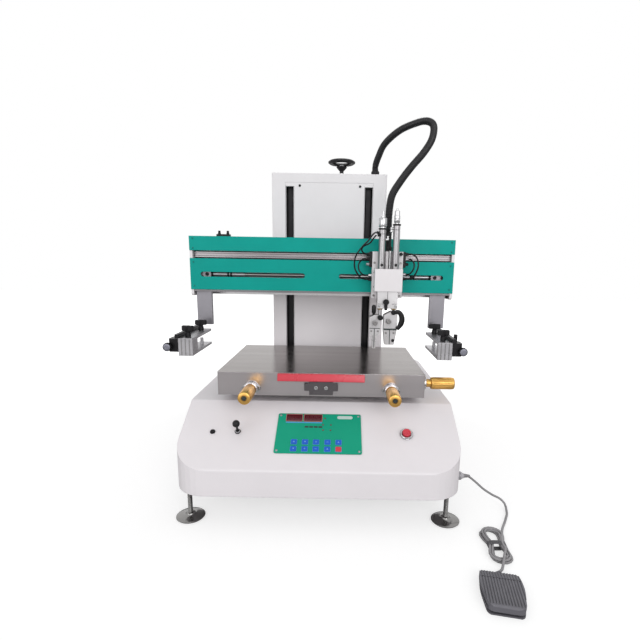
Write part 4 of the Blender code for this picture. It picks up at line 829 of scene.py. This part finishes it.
SHEET_LOW, SHEET_HIGH = box("column_front")
for name, x in (("left", -81), ("right", 100.3)):
    head = moved(cross_screw(3.6, 1.8), (x, SHEET_LOW.y, 796.5), FRONT)
    piece(f"sheet_screw_{name}", head, BLACK_OXIDE, "machine")
lips = [block(a, b, SHEET_LOW.y + 0.8, SHEET_LOW.y + 12, low, high)
        for x0, x1 in ((SHEET_LOW.x, SHEET_LOW.x + 26.4), (SHEET_HIGH.x - 26.4, SHEET_HIGH.x))
        for a, b, low, high in ((x0 + 0.4, x1 - 0.4, 794.4, 795.6),
                                (x0 + 0.4, x0 + 1.6, 290, 794.4),
                                (x1 - 1.6, x1 - 0.4, 290, 794.4))]
piece("slot_lips", lips, WHITE_SHEET, "machine")
wheel_at = Vector((*middle("handwheel").xy, 832))
sleeve = [(6.3, 0.4), (10.5, 0.4), (10.5, 2.2), (7.2, 3), (7, 9), (6.3, 9.2)]
piece("wheel_sleeve", moved(lathe(sleeve, 28), wheel_at), CHROME, "machine")
boss = merged(solid([(9.5, 29.6), (10, 30.6), (8.8, 32)], 28),
              moved(hex_nut(10, 4.6), (0, 0, 31.8)),
              solid([(3.1, 35), (3.1, 38.8), (2.4, 39.6)], 16))
piece("wheel_nut", moved(boss, wheel_at), CHROME, "wheel")
gland = merged(moved(hex_nut(25, 7.5), (0, 0, 0.2)),
               solid([(11.2, 7.5), (11.8, 8.5), (11.8, 9.8)], 30),
               knurl(12.5, 0.6, 18, 9.6, 15, 0.4),
               solid([(12.1, 14.8), (11, 17.6)], 30))
piece("gland_fitting", moved(gland, (GLAND_AT.x, GLAND_AT.y, GLAND_LOW.z)), BLACK, "machine",
      "conduit_gland")

# Beam: profiled rail, end screws, rod ends, channel line and the small fitting behind it

UPPER_LOW, UPPER_HIGH = box("upper_cover")
COVER_LOW, COVER_HIGH = box("lower_cover")
BEAM_X0, BEAM_X1 = UPPER_LOW.x, UPPER_HIGH.x
COVER_Y = COVER_LOW.y
RAIL_Z = COVER_HIGH.z + 10.5
rail = [(COVER_Y + y, RAIL_Z + z) for y, z in (
    (16.2, 7.9), (14.7, 7.2), (14.7, 4), (15.9, 3), (15.9, -3), (14.7, -4), (14.7, -7.2),
    (16.2, -7.9))]
piece("rail_face", prism(rail, "X", BEAM_X0 + 7.5, BEAM_X1 - 7.5), RAIL_STEEL, "head")
gaps = [block(BEAM_X0 + 7.5, BEAM_X1 - 7.5, COVER_Y + 26.2, COVER_Y + 27.2,
              COVER_HIGH.z + z0, COVER_HIGH.z + z1) for z0, z1 in ((0.5, 4), (16.8, 20.2))]
piece("rail_shadow_gaps", gaps, BLACK_OXIDE, "head")
channel = [(COVER_Y + y, COVER_LOW.z + z) for y, z in (
    (2, -5.8), (2, -0.6), (3, -0.6), (3, -4.8), (36, -4.8), (36, -5.8))]
piece("lower_channel", prism(channel, "X", BEAM_X0 + 7.8, BEAM_X1 - 7.8), ALLOY_DARK, "head")
for side, x, way in (("left", BEAM_X0, -1), ("right", BEAM_X1, 1)):
    spots = [(x - way * 2.9, COVER_Y + y, COVER_LOW.z + z) for z in (24, 124) for y in (22, 70)]
    piece(f"end_screws_{side}", sockets(4.4, 3, spots, (way, 0, 0)), BLACK_OXIDE, "head")
    lock = Vector((x - way * 13, COVER_Y + 16, COVER_LOW.z - 11))
    locks = [moved(socket_screw(4.8, 5), lock, FRONT),
             moved(rod(2.8, 12, 16), lock - Vector((0, 0.5, 0)), BACK)]
    piece(f"end_lock_{side}", locks, BLACK_OXIDE, "head")
    caps = [moved(cross_screw(2.2, 1.2), (x - way * 10, COVER_Y + 0.1, z), FRONT)
            for z in (COVER_LOW.z + 10, COVER_HIGH.z - 10, COVER_HIGH.z + 27.5,
                      COVER_HIGH.z + 52.5)]
    piece(f"cover_screws_{side}", caps, TEAL_DARK, "head")
fitting_x, top_z = BEAM_X0 + 78, UPPER_HIGH.z
parts = [softened(block(fitting_x - 19, fitting_x + 19, COVER_Y + 58, COVER_Y + 74,
                        top_z + 0.2, top_z + 8.5), 0.8)]
for x in (fitting_x - 12, fitting_x + 12):
    port = solid([(4.2, 0), (4.2, 3), (3.4, 4), (3.4, 9), (2.7, 9.8)])
    parts.append(moved(port, (x, COVER_Y + 66, top_z + 8.3)))
piece("beam_air_block", parts, BLACK, "head")

# Screen frame clamps: screws, grooved fork faces, T handles, blocks and dials

HANDLE_RISE = 7
HANDLE_TURNS = {"front": 0.18, "rear": -0.12}
for side, way in (("left", -1), ("right", 1)):
    clamp, adjust = f"{side}_clamp", f"{side}_adjust"
    inside = (-way, 0, 0)
    post_low, post_high = box(f"{side}_post")
    fork_low, fork_high = box(f"{side}_fork")
    bar_low, bar_high = box(f"{side}_adjuster")
    post_mid = (post_low.x + post_high.x) / 2
    rod_y, rod_z = COVER_Y + 15, COVER_LOW.z + 41.5
    locks = [(x, post_low.y + 0.2, rod_z) for x in (post_mid - 10.5, post_mid + 10.5)]
    piece(f"{side}_rod_locks", sockets(4.6, 4.2, locks), BLACK_OXIDE, clamp)
    inner = post_low.x - 1 if side == "right" else post_high.x + 1
    spacer = lathe([(5.6, 0), (6.4, 0.6), (6.4, 93), (5.6, 93.6)], 24)
    piece(f"{side}_rod_sleeve", moved(spacer, (inner, rod_y, rod_z), inside), SATIN, clamp)
    rings = [moved(lathe([(6.2, 0), (6.9, 0.4), (6.9, 5.2), (6.2, 5.6)], 24),
                   (inner - way * along, rod_y, rod_z), inside) for along in (0.6, 44, 52)]
    piece(f"{side}_sleeve_rings", rings, BLACK, clamp)
    if side == "left":
        web = block(fork_low.x + 2, fork_high.x - 0.2, fork_low.y + 13.8, fork_low.y + 42,
                    fork_low.z + 6.4, fork_high.z - 6.4)
        piece("left_fork_web", softened(web, 0.6), FORK_ALLOY, clamp)
    grooves = []
    for k in range(3):
        x = fork_low.x + (fork_high.x - fork_low.x) * (0.22 + 0.28 * k)
        grooves.append(block(x - 1.1, x + 1.1, fork_low.y - 0.3, fork_low.y + 0.4,
                             fork_low.z + 1.2, fork_high.z - 1.2))
    piece(f"{side}_fork_grooves", grooves, STEEL_DARK, clamp)
    for place, turn in HANDLE_TURNS.items():
        node = f"{side}_tknob_{place}"
        a, b = box(node)
        foot, top = a.z, b.z + HANDLE_RISE
        shank = solid([(5.8, foot + 0.3), (6, foot + 1), (6, foot + 3.7), (3, foot + 4),
                       (3, b.z - 21.2), (7, b.z - 21), (7.2, b.z - 16.5), (6.8, top - 18.5),
                       (5.4, top - 17), (7, top - 13), (7.5, top - 2)], 24)
        waisted = [(x, y * (0.78 + 0.22 * (abs(x) / 15.5) ** 2))
                   for x, y in rectangle(15.8, 7.2, 6.4, 6)]
        wing = softened(prism(waisted, "Z", top - 13.6, top - 0.4), 1.6, 3)
        wing.transform(Matrix.Rotation(way * turn, 4, "Z"))
        cap = solid([(4.6, top - 0.6), (4.2, top)])
        handle = moved(merged(shank, wing, cap), ((a.x + b.x) / 2, (a.y + b.y) / 2, 0))
        piece(f"{node}_handle", handle, BLACK, f"{side}_screw_{place}", node)
    bar_x = fork_high.x + 2 if side == "right" else fork_low.x - 2
    spots = [(bar_x, y, fork_high.z + 10.3)
             for y in (bar_low.y + 60, bar_low.y + 120, bar_high.y - 20)]
    piece(f"{side}_bar_screws", sockets(2.6, 1.8, spots, UP), STEEL_DARK, clamp)
    outer = bar_low.x if side == "left" else bar_high.x
    spots = [(outer - way * 1.2, bar_low.y + y, fork_low.z + z)
             for y, z in ((20.5, 17), (33.5, 33))]
    piece(f"{side}_block_screws", sockets(4, 2.2, spots, (way, 0, 0)), STEEL_DARK, clamp)
    a, b = box(f"{side}_dial")
    at = ((a.x + b.x) / 2, b.y, (a.z + b.z) / 2)
    reach, radius = b.y - a.y, (b.x - a.x) / 2
    core = solid([(5.2, 0), (5.2, 3.2), (radius - 1.6, 3.4), (radius - 1.6, reach - 1.2),
                  (radius - 3, reach - 0.3), (3.4, reach - 0.3), (3, reach - 0.9)], 40)
    piece(f"{side}_dial_face", moved(core, at, FRONT), DIAL_GREY, adjust, f"{side}_dial")
    grip = lathe([(radius - 2, 4), (radius - 0.6, 4), (radius - 0.6, reach - 1.8),
                  (radius - 1.4, reach - 0.8), (radius - 2, reach - 1)], 40)
    ridges = around(32, lambda k: block(radius - 1, radius - 0.1, -0.5, 0.5, 4.6, reach - 2.4))
    piece(f"{side}_dial_grip", moved(merged(grip, *ridges), at, FRONT), BLACK_OXIDE, adjust)
    ticks = around(20, lambda k: block(radius - (4.9 if k % 5 else 5.8), radius - 3.6, -0.18,
                                       0.18, reach - 0.3, reach - 0.18))
    piece(f"{side}_dial_ticks", moved(merged(*ticks), at, FRONT), DARK_MARK_AND_SHADE, adjust)

# Carriage: the two air cylinders with their caps, rings, fittings and pins

BODY = "carriage_body"
CYL_OUT = 18
CYL_Y = CAR_FRONT - 20
CYL_FOOT = box("squeegee_cylinder")[0].z
BARREL_R = 9
left_cyl = Vector((CAR_X - CYL_OUT, CYL_Y, CYL_FOOT))
right_cyl = Vector((CAR_X + CYL_OUT, CYL_Y, CYL_FOOT))


def barrel(top):
    """The foot collar, barrel and crimped top of a cylinder, round Z."""
    thin = BARREL_R - 0.6
    return solid([(10, 0), (10.2, 0.5), (10.2, 15), (9.6, 16), (9.6, 17.5), (thin, 18),
                  (thin, 19.2), (BARREL_R, 19.8), (BARREL_R, top - 12),
                  (BARREL_R - 0.7, top - 11.6), (BARREL_R - 0.7, top - 10.2),
                  (BARREL_R, top - 9.8), (BARREL_R, top - 0.6), (thin, top)], 40)


piece("squeegee_barrel", moved(barrel(152.5), left_cyl), BRUSHED, BODY, "squeegee_cylinder")
ring = [(9.8, 152.4), (10.3, 153), (10.3, 155.6), (9.8, 156.2)]
piece("squeegee_ring", moved(solid(ring, 40), left_cyl), BLACK, BODY)
drum = merged(
    solid([(8.6, 156), (8.6, 159.2), (10, 159.8), (10.4, 160.4), (10.4, 164), (9.9, 164.4),
           (9.9, 165.2), (10.4, 165.6), (10.4, 179.8), (9.5, 181.2), (6.2, 181.5), (6, 182.2)],
          40),
    solid([(2.4, 182), (2.4, 198.5), (1.9, 199.4)], 18),
    moved(hex_nut(8.2, 3.4), (0, 0, 182)))
piece("squeegee_drum", moved(drum, left_cyl), CHROME, BODY)
piece("flood_barrel", moved(barrel(163), right_cyl), BRUSHED, BODY, "flood_cylinder")
ring = [(9.8, 162.9), (10.4, 163.6), (10.4, 166.2), (9.8, 166.9)]
piece("flood_ring", moved(solid(ring, 40), right_cyl), BLACK_OXIDE, BODY)
cap = merged(
    solid([(5.8, 166.7), (5.8, 169.8), (7.4, 170.2), (7.8, 170.8), (7.8, 177.5), (7, 178),
           (7, 179.4), (7.8, 179.9), (7.8, 186.8), (6.8, 187.6), (6.6, 198.4), (5.6, 199.5)],
          36),
    solid([(2.5, 199), (2.5, 204.5), (1.8, 205.3)], 18))
piece("flood_cap", moved(cap, right_cyl), CHROME, BODY)


def elbow(at, side):
    """A banjo fitting that leaves a cylinder to one side: to the right it turns up."""
    out = at + Vector((side * 5.2, 0, 0))
    return [moved(solid([(3.6, 0), (3.6, 1.2), (2.8, 1.6), (2.8, 4)]), at, (side, 0, 0)),
            moved(lathe([(0, -3.4), (2.6, -2.8), (3.5, -1), (3.5, 1.2), (2.6, 3), (0, 3.4)]),
                  out),
            moved(solid([(2.7, 1.5), (2.7, 5.2), (3.3, 5.6), (3.3, 8.4), (2.8, 9)]), out,
                  (0, 0, side))]


right_elbow = right_cyl + Vector((0.3 - BARREL_R, -1, 155.5))
piece("elbow_right_cylinder", elbow(right_elbow, -1), CHROME, BODY)
left_elbow = left_cyl + Vector((BARREL_R - 0.3, -1, 128))
piece("elbow_left_cylinder", elbow(left_elbow, 1), CHROME, BODY)
pipe = smooth_route([right_elbow + Vector((-5.2, 0, -8.4)),
                     right_elbow + Vector((-5.4, -0.6, -11)),
                     (left_elbow + right_elbow) / 2 + Vector((0, -2.2, 0)),
                     left_elbow + Vector((5.4, -0.6, 11)),
                     left_elbow + Vector((5.2, 0, 8.4))], 1.2)
piece("cylinder_link", tube(pipe, 1.9), HOSE_BLACK, BODY)
ports = [moved(solid([(3.8, 0), (3.8, 1), (3, 1.3), (3, 2.8), (3.5, 3.1), (3.5, 6.2),
                      (3, 6.7)]),
               left_cyl + Vector((0.5 - BARREL_R - y * 0.3, y, z - CYL_FOOT)), (-1, 0, 0))
         for y, z in ((0, 650), (-6.7, 643))]
piece("left_cylinder_ports", ports, BLACK, BODY)
plugs = [moved(solid([(3.6, 0), (3.6, 4), (2.8, 4.6)]),
               at + Vector((0, 0.4 - BARREL_R, 64)), FRONT) for at in (left_cyl, right_cyl)]
piece("cylinder_plugs", plugs, BLACK, BODY)

# Bars between the cylinders, back-plate screws and the conduit's end fitting

bar = softened(block(-3.4, 3.4, -2.2, 2.2, CYL_FOOT, CAR_HIGH.z + 0.8), 0.5)
piece("centre_bar", moved(bar, (CAR_X - 3.2, CAR_FRONT - 8, 0)), WHITE_SHEET, BODY)
pin = [(2.8, CYL_FOOT), (2.8, CAR_HIGH.z - 6), (3.6, CAR_HIGH.z - 5.5),
       (3.6, CAR_HIGH.z + 1.2), (3, CAR_HIGH.z + 2)]
piece("centre_rod", moved(solid(pin), (CAR_X + 5, CAR_FRONT - 8.5, 0)), CHROME, BODY)
PLATE_X = 34.5
spots = [(x, CAR_FRONT, z) for x in (CAR_X - PLATE_X, CAR_X + PLATE_X)
         for z in (CAR_LOW.z + 7, CAR_HIGH.z - 29)]
piece("plate_screws", sockets(3, 2.2, spots), STEEL_DARK, BODY)
nozzle = solid([(4.4, 0), (4.4, 3), (3.6, 3.8), (3.6, 7), (2, 7.2), (2, 6.4)], 24)
piece("plate_nozzle", moved(nozzle, (CAR_X + PLATE_X, CAR_FRONT, CAR_HIGH.z - 6), FRONT),
      BLACK, BODY)
collar = merged(moved(hex_nut(23.5, 5), (0, 0, 0.3)),
                solid([(11.2, 5), (11.6, 6), (11.6, 12), (10.6, 13.6)], 32))
piece("conduit_end", moved(collar, (CAR_X, CONDUIT_Y, CAR_HIGH.z)), BLACK, BODY)
low, high = box("carriage_cover")
edge_screws = [moved(cross_screw(2.4, 1.4), (x, CAR_FRONT - 10, z), (side, 0, 0))
               for side, x in ((-1, low.x), (1, high.x)) for z in (low.z + 10, high.z - 10)]
piece("cover_side_screws", edge_screws, STEEL_DARK, BODY)

# Rod guide: bushes, a split line and its clamp screws, and a knob on a neck

low, high = box("rod_guide")
GUIDE_FRONT, GUIDE_Z = low.y, low.z
bush = [(4.6, -3.4), (7, -3.4), (7.6, -2.8), (7.6, -0.3), (4.6, -0.3)]
bushes = [moved(lathe(bush, 32), (CAR_X + x, CYL_Y, GUIDE_Z)) for x in (-CYL_OUT, CYL_OUT)]
piece("guide_bushes", bushes, BRASS_DARK, BODY)


def thin_line(x0, x1, z0, z1, face, proud=0.3, deep=0.3):
    """A dark line on a front face."""
    return block(CAR_X + x0, CAR_X + x1, face - proud, face + deep, z0, z1)


lines = [thin_line(x - half, x + half, z0, z1, GUIDE_FRONT, 0.25, 0.4) for x, half, z0, z1 in (
    (0, 0.6, GUIDE_Z + 1, high.z - 1), (-CYL_OUT, 7, GUIDE_Z + 11.5, GUIDE_Z + 12.3),
    (CYL_OUT, 7, GUIDE_Z + 11.5, GUIDE_Z + 12.3))]
piece("guide_lines", lines, DARK_MARK_AND_SHADE, BODY)
spots = [(CAR_X + x, GUIDE_FRONT, GUIDE_Z + 6.2) for x in (-21.5, 21.5)]
piece("guide_screws", sockets(3, 2.2, spots), CHROME, BODY)
stop_knob = merged(rod(4, 2.6), knurl(7.9, 0.7, 12, 2.4, 9.8, 0.8, 2),
                   solid([(4, 9.6), (3.4, 10.6)]))
piece("guide_knob", moved(stop_knob, (CAR_X - 4, GUIDE_FRONT, GUIDE_Z + 17.5), FRONT), BLACK,
      BODY)
neck = prism([(CAR_X - 7.5, GUIDE_Z - 4), (CAR_X - 0.5, GUIDE_Z - 4),
              (CAR_X + 0.5, GUIDE_Z + 12), (CAR_X - 8.5, GUIDE_Z + 12)], "Y",
             GUIDE_FRONT - 5, GUIDE_FRONT - 0.4)
piece("guide_neck", softened(neck, 0.8), BLACK_OXIDE, BODY)

# Holders: knurled screws, clamp jaws, small knobs and hand levers

left_face, right_face = box("squeegee_holder")[0].y, box("flood_holder")[0].y
LEFT_TOP, RIGHT_TOP = GUIDE_Z - 17, GUIDE_Z - 7
for holder in ("squeegee", "flood"):
    name = f"{holder}_knob"
    a, b = box(name)
    screw = merged(knurl(6.6, 0.5, 22, 3, 11.8, 0.4), rod(3, 3.2),
                   solid([(5, 11.6), (4.6, 12.6), (2.8, 12.6), (2.6, 11)], 24))
    piece(f"{name}_knurled", moved(screw, ((a.x + b.x) / 2, b.y, (a.z + b.z) / 2), FRONT),
          STEEL_DARK, f"{holder}_screw", name)
lines = [thin_line(-45, -16.8, LEFT_TOP - 36.2, LEFT_TOP - 34.4, left_face),
         thin_line(-33, -31, LEFT_TOP - 87, LEFT_TOP - 36.2, left_face)]
piece("squeegee_jaw_lines", lines, DARK_MARK_AND_SHADE, "squeegee")
spots = [(CAR_X + x, left_face, LEFT_TOP - 42.5) for x in (-22.5, -40)]
piece("squeegee_jaw_screws", sockets(2.6, 1.8, spots), STEEL_DARK, "squeegee")
lever = lathe([(0, 0), (4.8, 0), (5, 2), (3.4, 3.4), (3.6, 6), (5.6, 10), (6, 18),
               (5.4, 26.2), (3.6, 29.2), (0, 30)], 28)
piece("squeegee_lever", moved(lever, (CAR_X - 34.5, CYL_Y - 8, LEFT_TOP - 3.5)), BLACK,
      "squeegee")
knob = merged(rod(3.6, 3.4), knurl(7.2, 0.6, 10, 3, 9.8, 0.8, 2))
piece("squeegee_round_knob", moved(knob, (CAR_X - 18, left_face, LEFT_TOP - 6), FRONT), BLACK,
      "squeegee")
lines = [thin_line(-8, 26, RIGHT_TOP - 49, RIGHT_TOP - 44.5, right_face),
         thin_line(7, 9, RIGHT_TOP - 86, RIGHT_TOP - 49, right_face)]
piece("flood_jaw_lines", lines, DARK_MARK_AND_SHADE, "flood")
plug = solid([(4.2, 0), (4.2, 1.2), (3.4, 1.8)], 24)
piece("flood_plug", moved(plug, (CAR_X + 17, right_face, RIGHT_TOP - 76), FRONT), BLACK,
      "flood")
spots = [(CAR_X + x, right_face, RIGHT_TOP - 56) for x in (-2, 18.5)]
piece("flood_jaw_screws", sockets(2.6, 1.8, spots), STEEL_DARK, "flood")
hinge = Vector((CAR_X + 16, right_face, RIGHT_TOP - 2))
pivot = solid([(6.4, 0), (6.4, 4.6), (5.2, 6), (2.6, 6.2), (2.4, 5.4)], 28)
piece("hand_lever_pivot", moved(pivot, hinge, FRONT), BLACK_OXIDE, "flood")
sweep, arc = [
    smooth_route([hinge + Vector((x, -4.2, z)) for x, z in line], 1.5) for line in (
        ((1, -0.5), (11, 2), (19, -5), (21.5, -19), (17, -34), (10.5, -44)),
        ((13, 3.5), (21.5, 0.5), (27, -9), (28.5, -21), (25, -33), (19, -40)))]
radii = [4.6 + 1.8 * math.sin(math.pi * k / (len(sweep) - 1)) ** 0.7 for k in range(len(sweep))]
radii[0] = radii[-1] = 3
blade = tube(sweep, radii, 14)
LEVER_FLATTEN = 0.62
lever_y = (hinge.y - 4.2) * MM
for vert in blade.verts:
    vert.co.y = lever_y + (vert.co.y - lever_y) * LEVER_FLATTEN
piece("hand_lever", blade, BLACK, "flood", angle=60)
piece("hand_lever_arc", tube(arc, 1.1, 10), BLACK_OXIDE, "flood", angle=60)

# Air hoses: nested loops on each side, between push-in fittings

HOSE_R = 2
HEAD_SHIFT = Vector((CAR_X, SHIFT.y, 0))
SIDE = CAR_HIGH.x - CAR_X
for name, way in (("left", -1), ("right", 1)):
    x0, x1 = sorted((way * (SIDE + 0.2), way * (SIDE + 7.5)))
    body = softened(block(x0, x1, 163, 181.5, 562, 603), 1.2)
    piece(f"manifold_{name}", moved(body, HEAD_SHIFT), BLACK, BODY)
for name, out, y, z, look in (
    ("left_low", 0, 170, 530, BLACK), ("left_mid", 0, 165, 541, CHROME),
    ("left_top", 6, 166, 596, BLACK), ("left_upper", 6, 172, 583, BLACK),
    ("left_spare", 6, 172, 570, SATIN), ("right_top", 6, 172, 597, BLACK),
    ("right_mid", 6, 170, 584, SATIN), ("right_spare", 6, 172, 571, BLACK),
    ("right_low", 0, 166, 533, BLACK), ("right_lower", 0, 166, 544.5, SATIN),
):
    way = 1 if name.startswith("right") else -1
    body = merged(moved(hex_nut(8.8, 3), (0, 0, 0.1)),
                  solid([(4.1, 3), (4.1, 7.2), (3.3, 7.8), (3, 8), (3, 8.4), (3.8, 8.6),
                         (3.8, 9.6)]))
    at = Vector((way * (SIDE + out), y, z)) + HEAD_SHIFT
    piece(f"fitting_{name}", moved(body, at, (way, 0, 0)), look, BODY)
for name, nodes, end, line in (
    ("hose_left_outer", ["air_loop_left"], "left_low", (
        (-33.8, 139.7, 650), (-40.5, 139, 647), (-53.5, 136, 630), (-70.5, 138, 612),
        (-85.5, 144, 588), (-86.5, 150, 560), (-73.5, 158, 538), (-60, 168, 531),
        (-49, 170, 530))),
    ("hose_left_inner", [], "left_mid", (
        (-55, 172, 583), (-63, 170.5, 582.5), (-71.5, 165.5, 577.5), (-76.5, 159, 568),
        (-75.5, 154.5, 556), (-69, 155, 546), (-59, 161, 541.2), (-49, 165, 541))),
    ("hose_right_outer", ["air_loop_right"], "right_low", (
        (55, 172, 597), (64, 169, 597.5), (75.5, 161, 589), (80.5, 156, 570),
        (74.5, 156, 548), (62, 163, 534.5), (49, 166, 533))),
    ("hose_right_inner", [], "right_lower", (
        (55, 170, 584), (61.5, 164, 583.5), (68.8, 156, 574), (68, 154, 560),
        (60, 160, 547), (49, 166, 544.5))),
    ("hose_left_riser", [], "left_top", (
        (-33.8, 133, 643), (-39, 133.5, 638), (-46.8, 137.7, 626.4), (-51.9, 140.3, 622.1),
        (-65.6, 146.4, 615.2), (-69.4, 154.1, 607.1), (-65.4, 161.4, 600.2),
        (-59.2, 165, 597), (-55, 166, 596))),
):
    points = smooth_route([Vector(p) + HEAD_SHIFT for p in line], 3)
    hose = piece(name, tube(points, HOSE_R), HOSE_BLACK, BODY, *nodes, angle=60)

# Stage, lights and camera

FLOOR_REACH = 6.0
floor_mesh = bpy.data.meshes.new("studio_floor")
corners = [(x * FLOOR_REACH, y * FLOOR_REACH, 0) for x, y in ((-1, -1), (1, -1), (1, 1), (-1, 1))]
floor_mesh.from_pydata(corners, [], [(0, 1, 2, 3)])
floor = bpy.data.objects.new("studio_floor", floor_mesh)
bpy.context.scene.collection.objects.link(floor)
floor_look = bpy.data.materials.new("studio_white")
floor_look.use_nodes = True
tree = floor_look.node_tree
spot = add(tree, "ShaderNodeTexCoord").outputs["Object"]
away = add(tree, "ShaderNodeVectorMath", {0: spot}, operation="LENGTH").outputs["Value"]
seen = add(tree, "ShaderNodeLightPath").outputs["Is Camera Ray"]
glow = math_node(tree, "MULTIPLY", seen, spread(tree, away, 0.60, 1.0, 0.7, 2.0))
fill(tree, tree.nodes["Principled BSDF"], {
    "Base Color": (0.50, 0.50, 0.50, 1), "Roughness": 1.0, "Specular IOR Level": 0.0,
    "Emission Color": (1, 1, 1, 1), "Emission Strength": glow,
})
floor_mesh.materials.append(floor_look)

world = bpy.data.worlds.new("studio_world")
bpy.context.scene.world = world
world.use_nodes = True
tree = world.node_tree
tree.nodes.clear()
path = add(tree, "ShaderNodeLightPath").outputs
seen = math_node(tree, "MAXIMUM", path["Is Camera Ray"], path["Is Glossy Ray"])
seen = math_node(tree, "MAXIMUM", seen, path["Is Transmission Ray"])
background = add(tree, "ShaderNodeBackground", {
    "Color": (1, 1, 1, 1), "Strength": spread(tree, seen, 0.66, 1.0),
})
add(tree, "ShaderNodeOutputWorld", {"Surface": background.outputs[0]})

for name, at, size, power in (
    ("key_light", (1.9, -5.4, 2.5), 3.6, 121.0),
    ("fill_light", (-3.2, -4.6, 1.7), 3.6, 62.0),
    ("back_light", (0.6, 2.4, 2.4), 1.6, 8.0),
):
    data = bpy.data.lights.new(name, "AREA")
    data.size = size
    data.energy = power
    light = bpy.data.objects.new(name, data)
    light.location = at
    aim = Vector((0, 0, 0.4)) - Vector(at)
    light.rotation_euler = aim.to_track_quat("-Z", "Y").to_euler()
    bpy.context.scene.collection.objects.link(light)

WIDTH, SENSOR = 640, 36.0
FOCAL, CENTRE_X, CENTRE_Y = 445.34, 338.6, 349.4
PITCH, YAW, ROLL = 0.19948, -0.00111, -0.0171
EYE = Vector((41.67, -1034.35, 581.15))
forward = Vector((math.sin(YAW) * math.cos(PITCH), math.cos(YAW) * math.cos(PITCH),
                  -math.sin(PITCH)))
right = Vector((math.cos(YAW), -math.sin(YAW), 0))
down = forward.cross(right)
across = math.cos(ROLL) * right + math.sin(ROLL) * down
below = -math.sin(ROLL) * right + math.cos(ROLL) * down
camera_data = bpy.data.cameras.new("photo_camera")
camera_data.sensor_width = SENSOR
camera_data.lens = FOCAL / WIDTH * SENSOR
camera_data.shift_x = (WIDTH / 2 - CENTRE_X) / WIDTH
camera_data.shift_y = (CENTRE_Y - WIDTH / 2) / WIDTH
camera = bpy.data.objects.new("photo_camera", camera_data)
pose = Matrix((across, -below, -forward)).transposed().to_4x4()
pose.translation = (EYE + SHIFT) * MM
camera.matrix_world = pose
bpy.context.scene.collection.objects.link(camera)
bpy.context.scene.camera = camera
bpy.context.scene.view_settings.view_transform = "Standard"
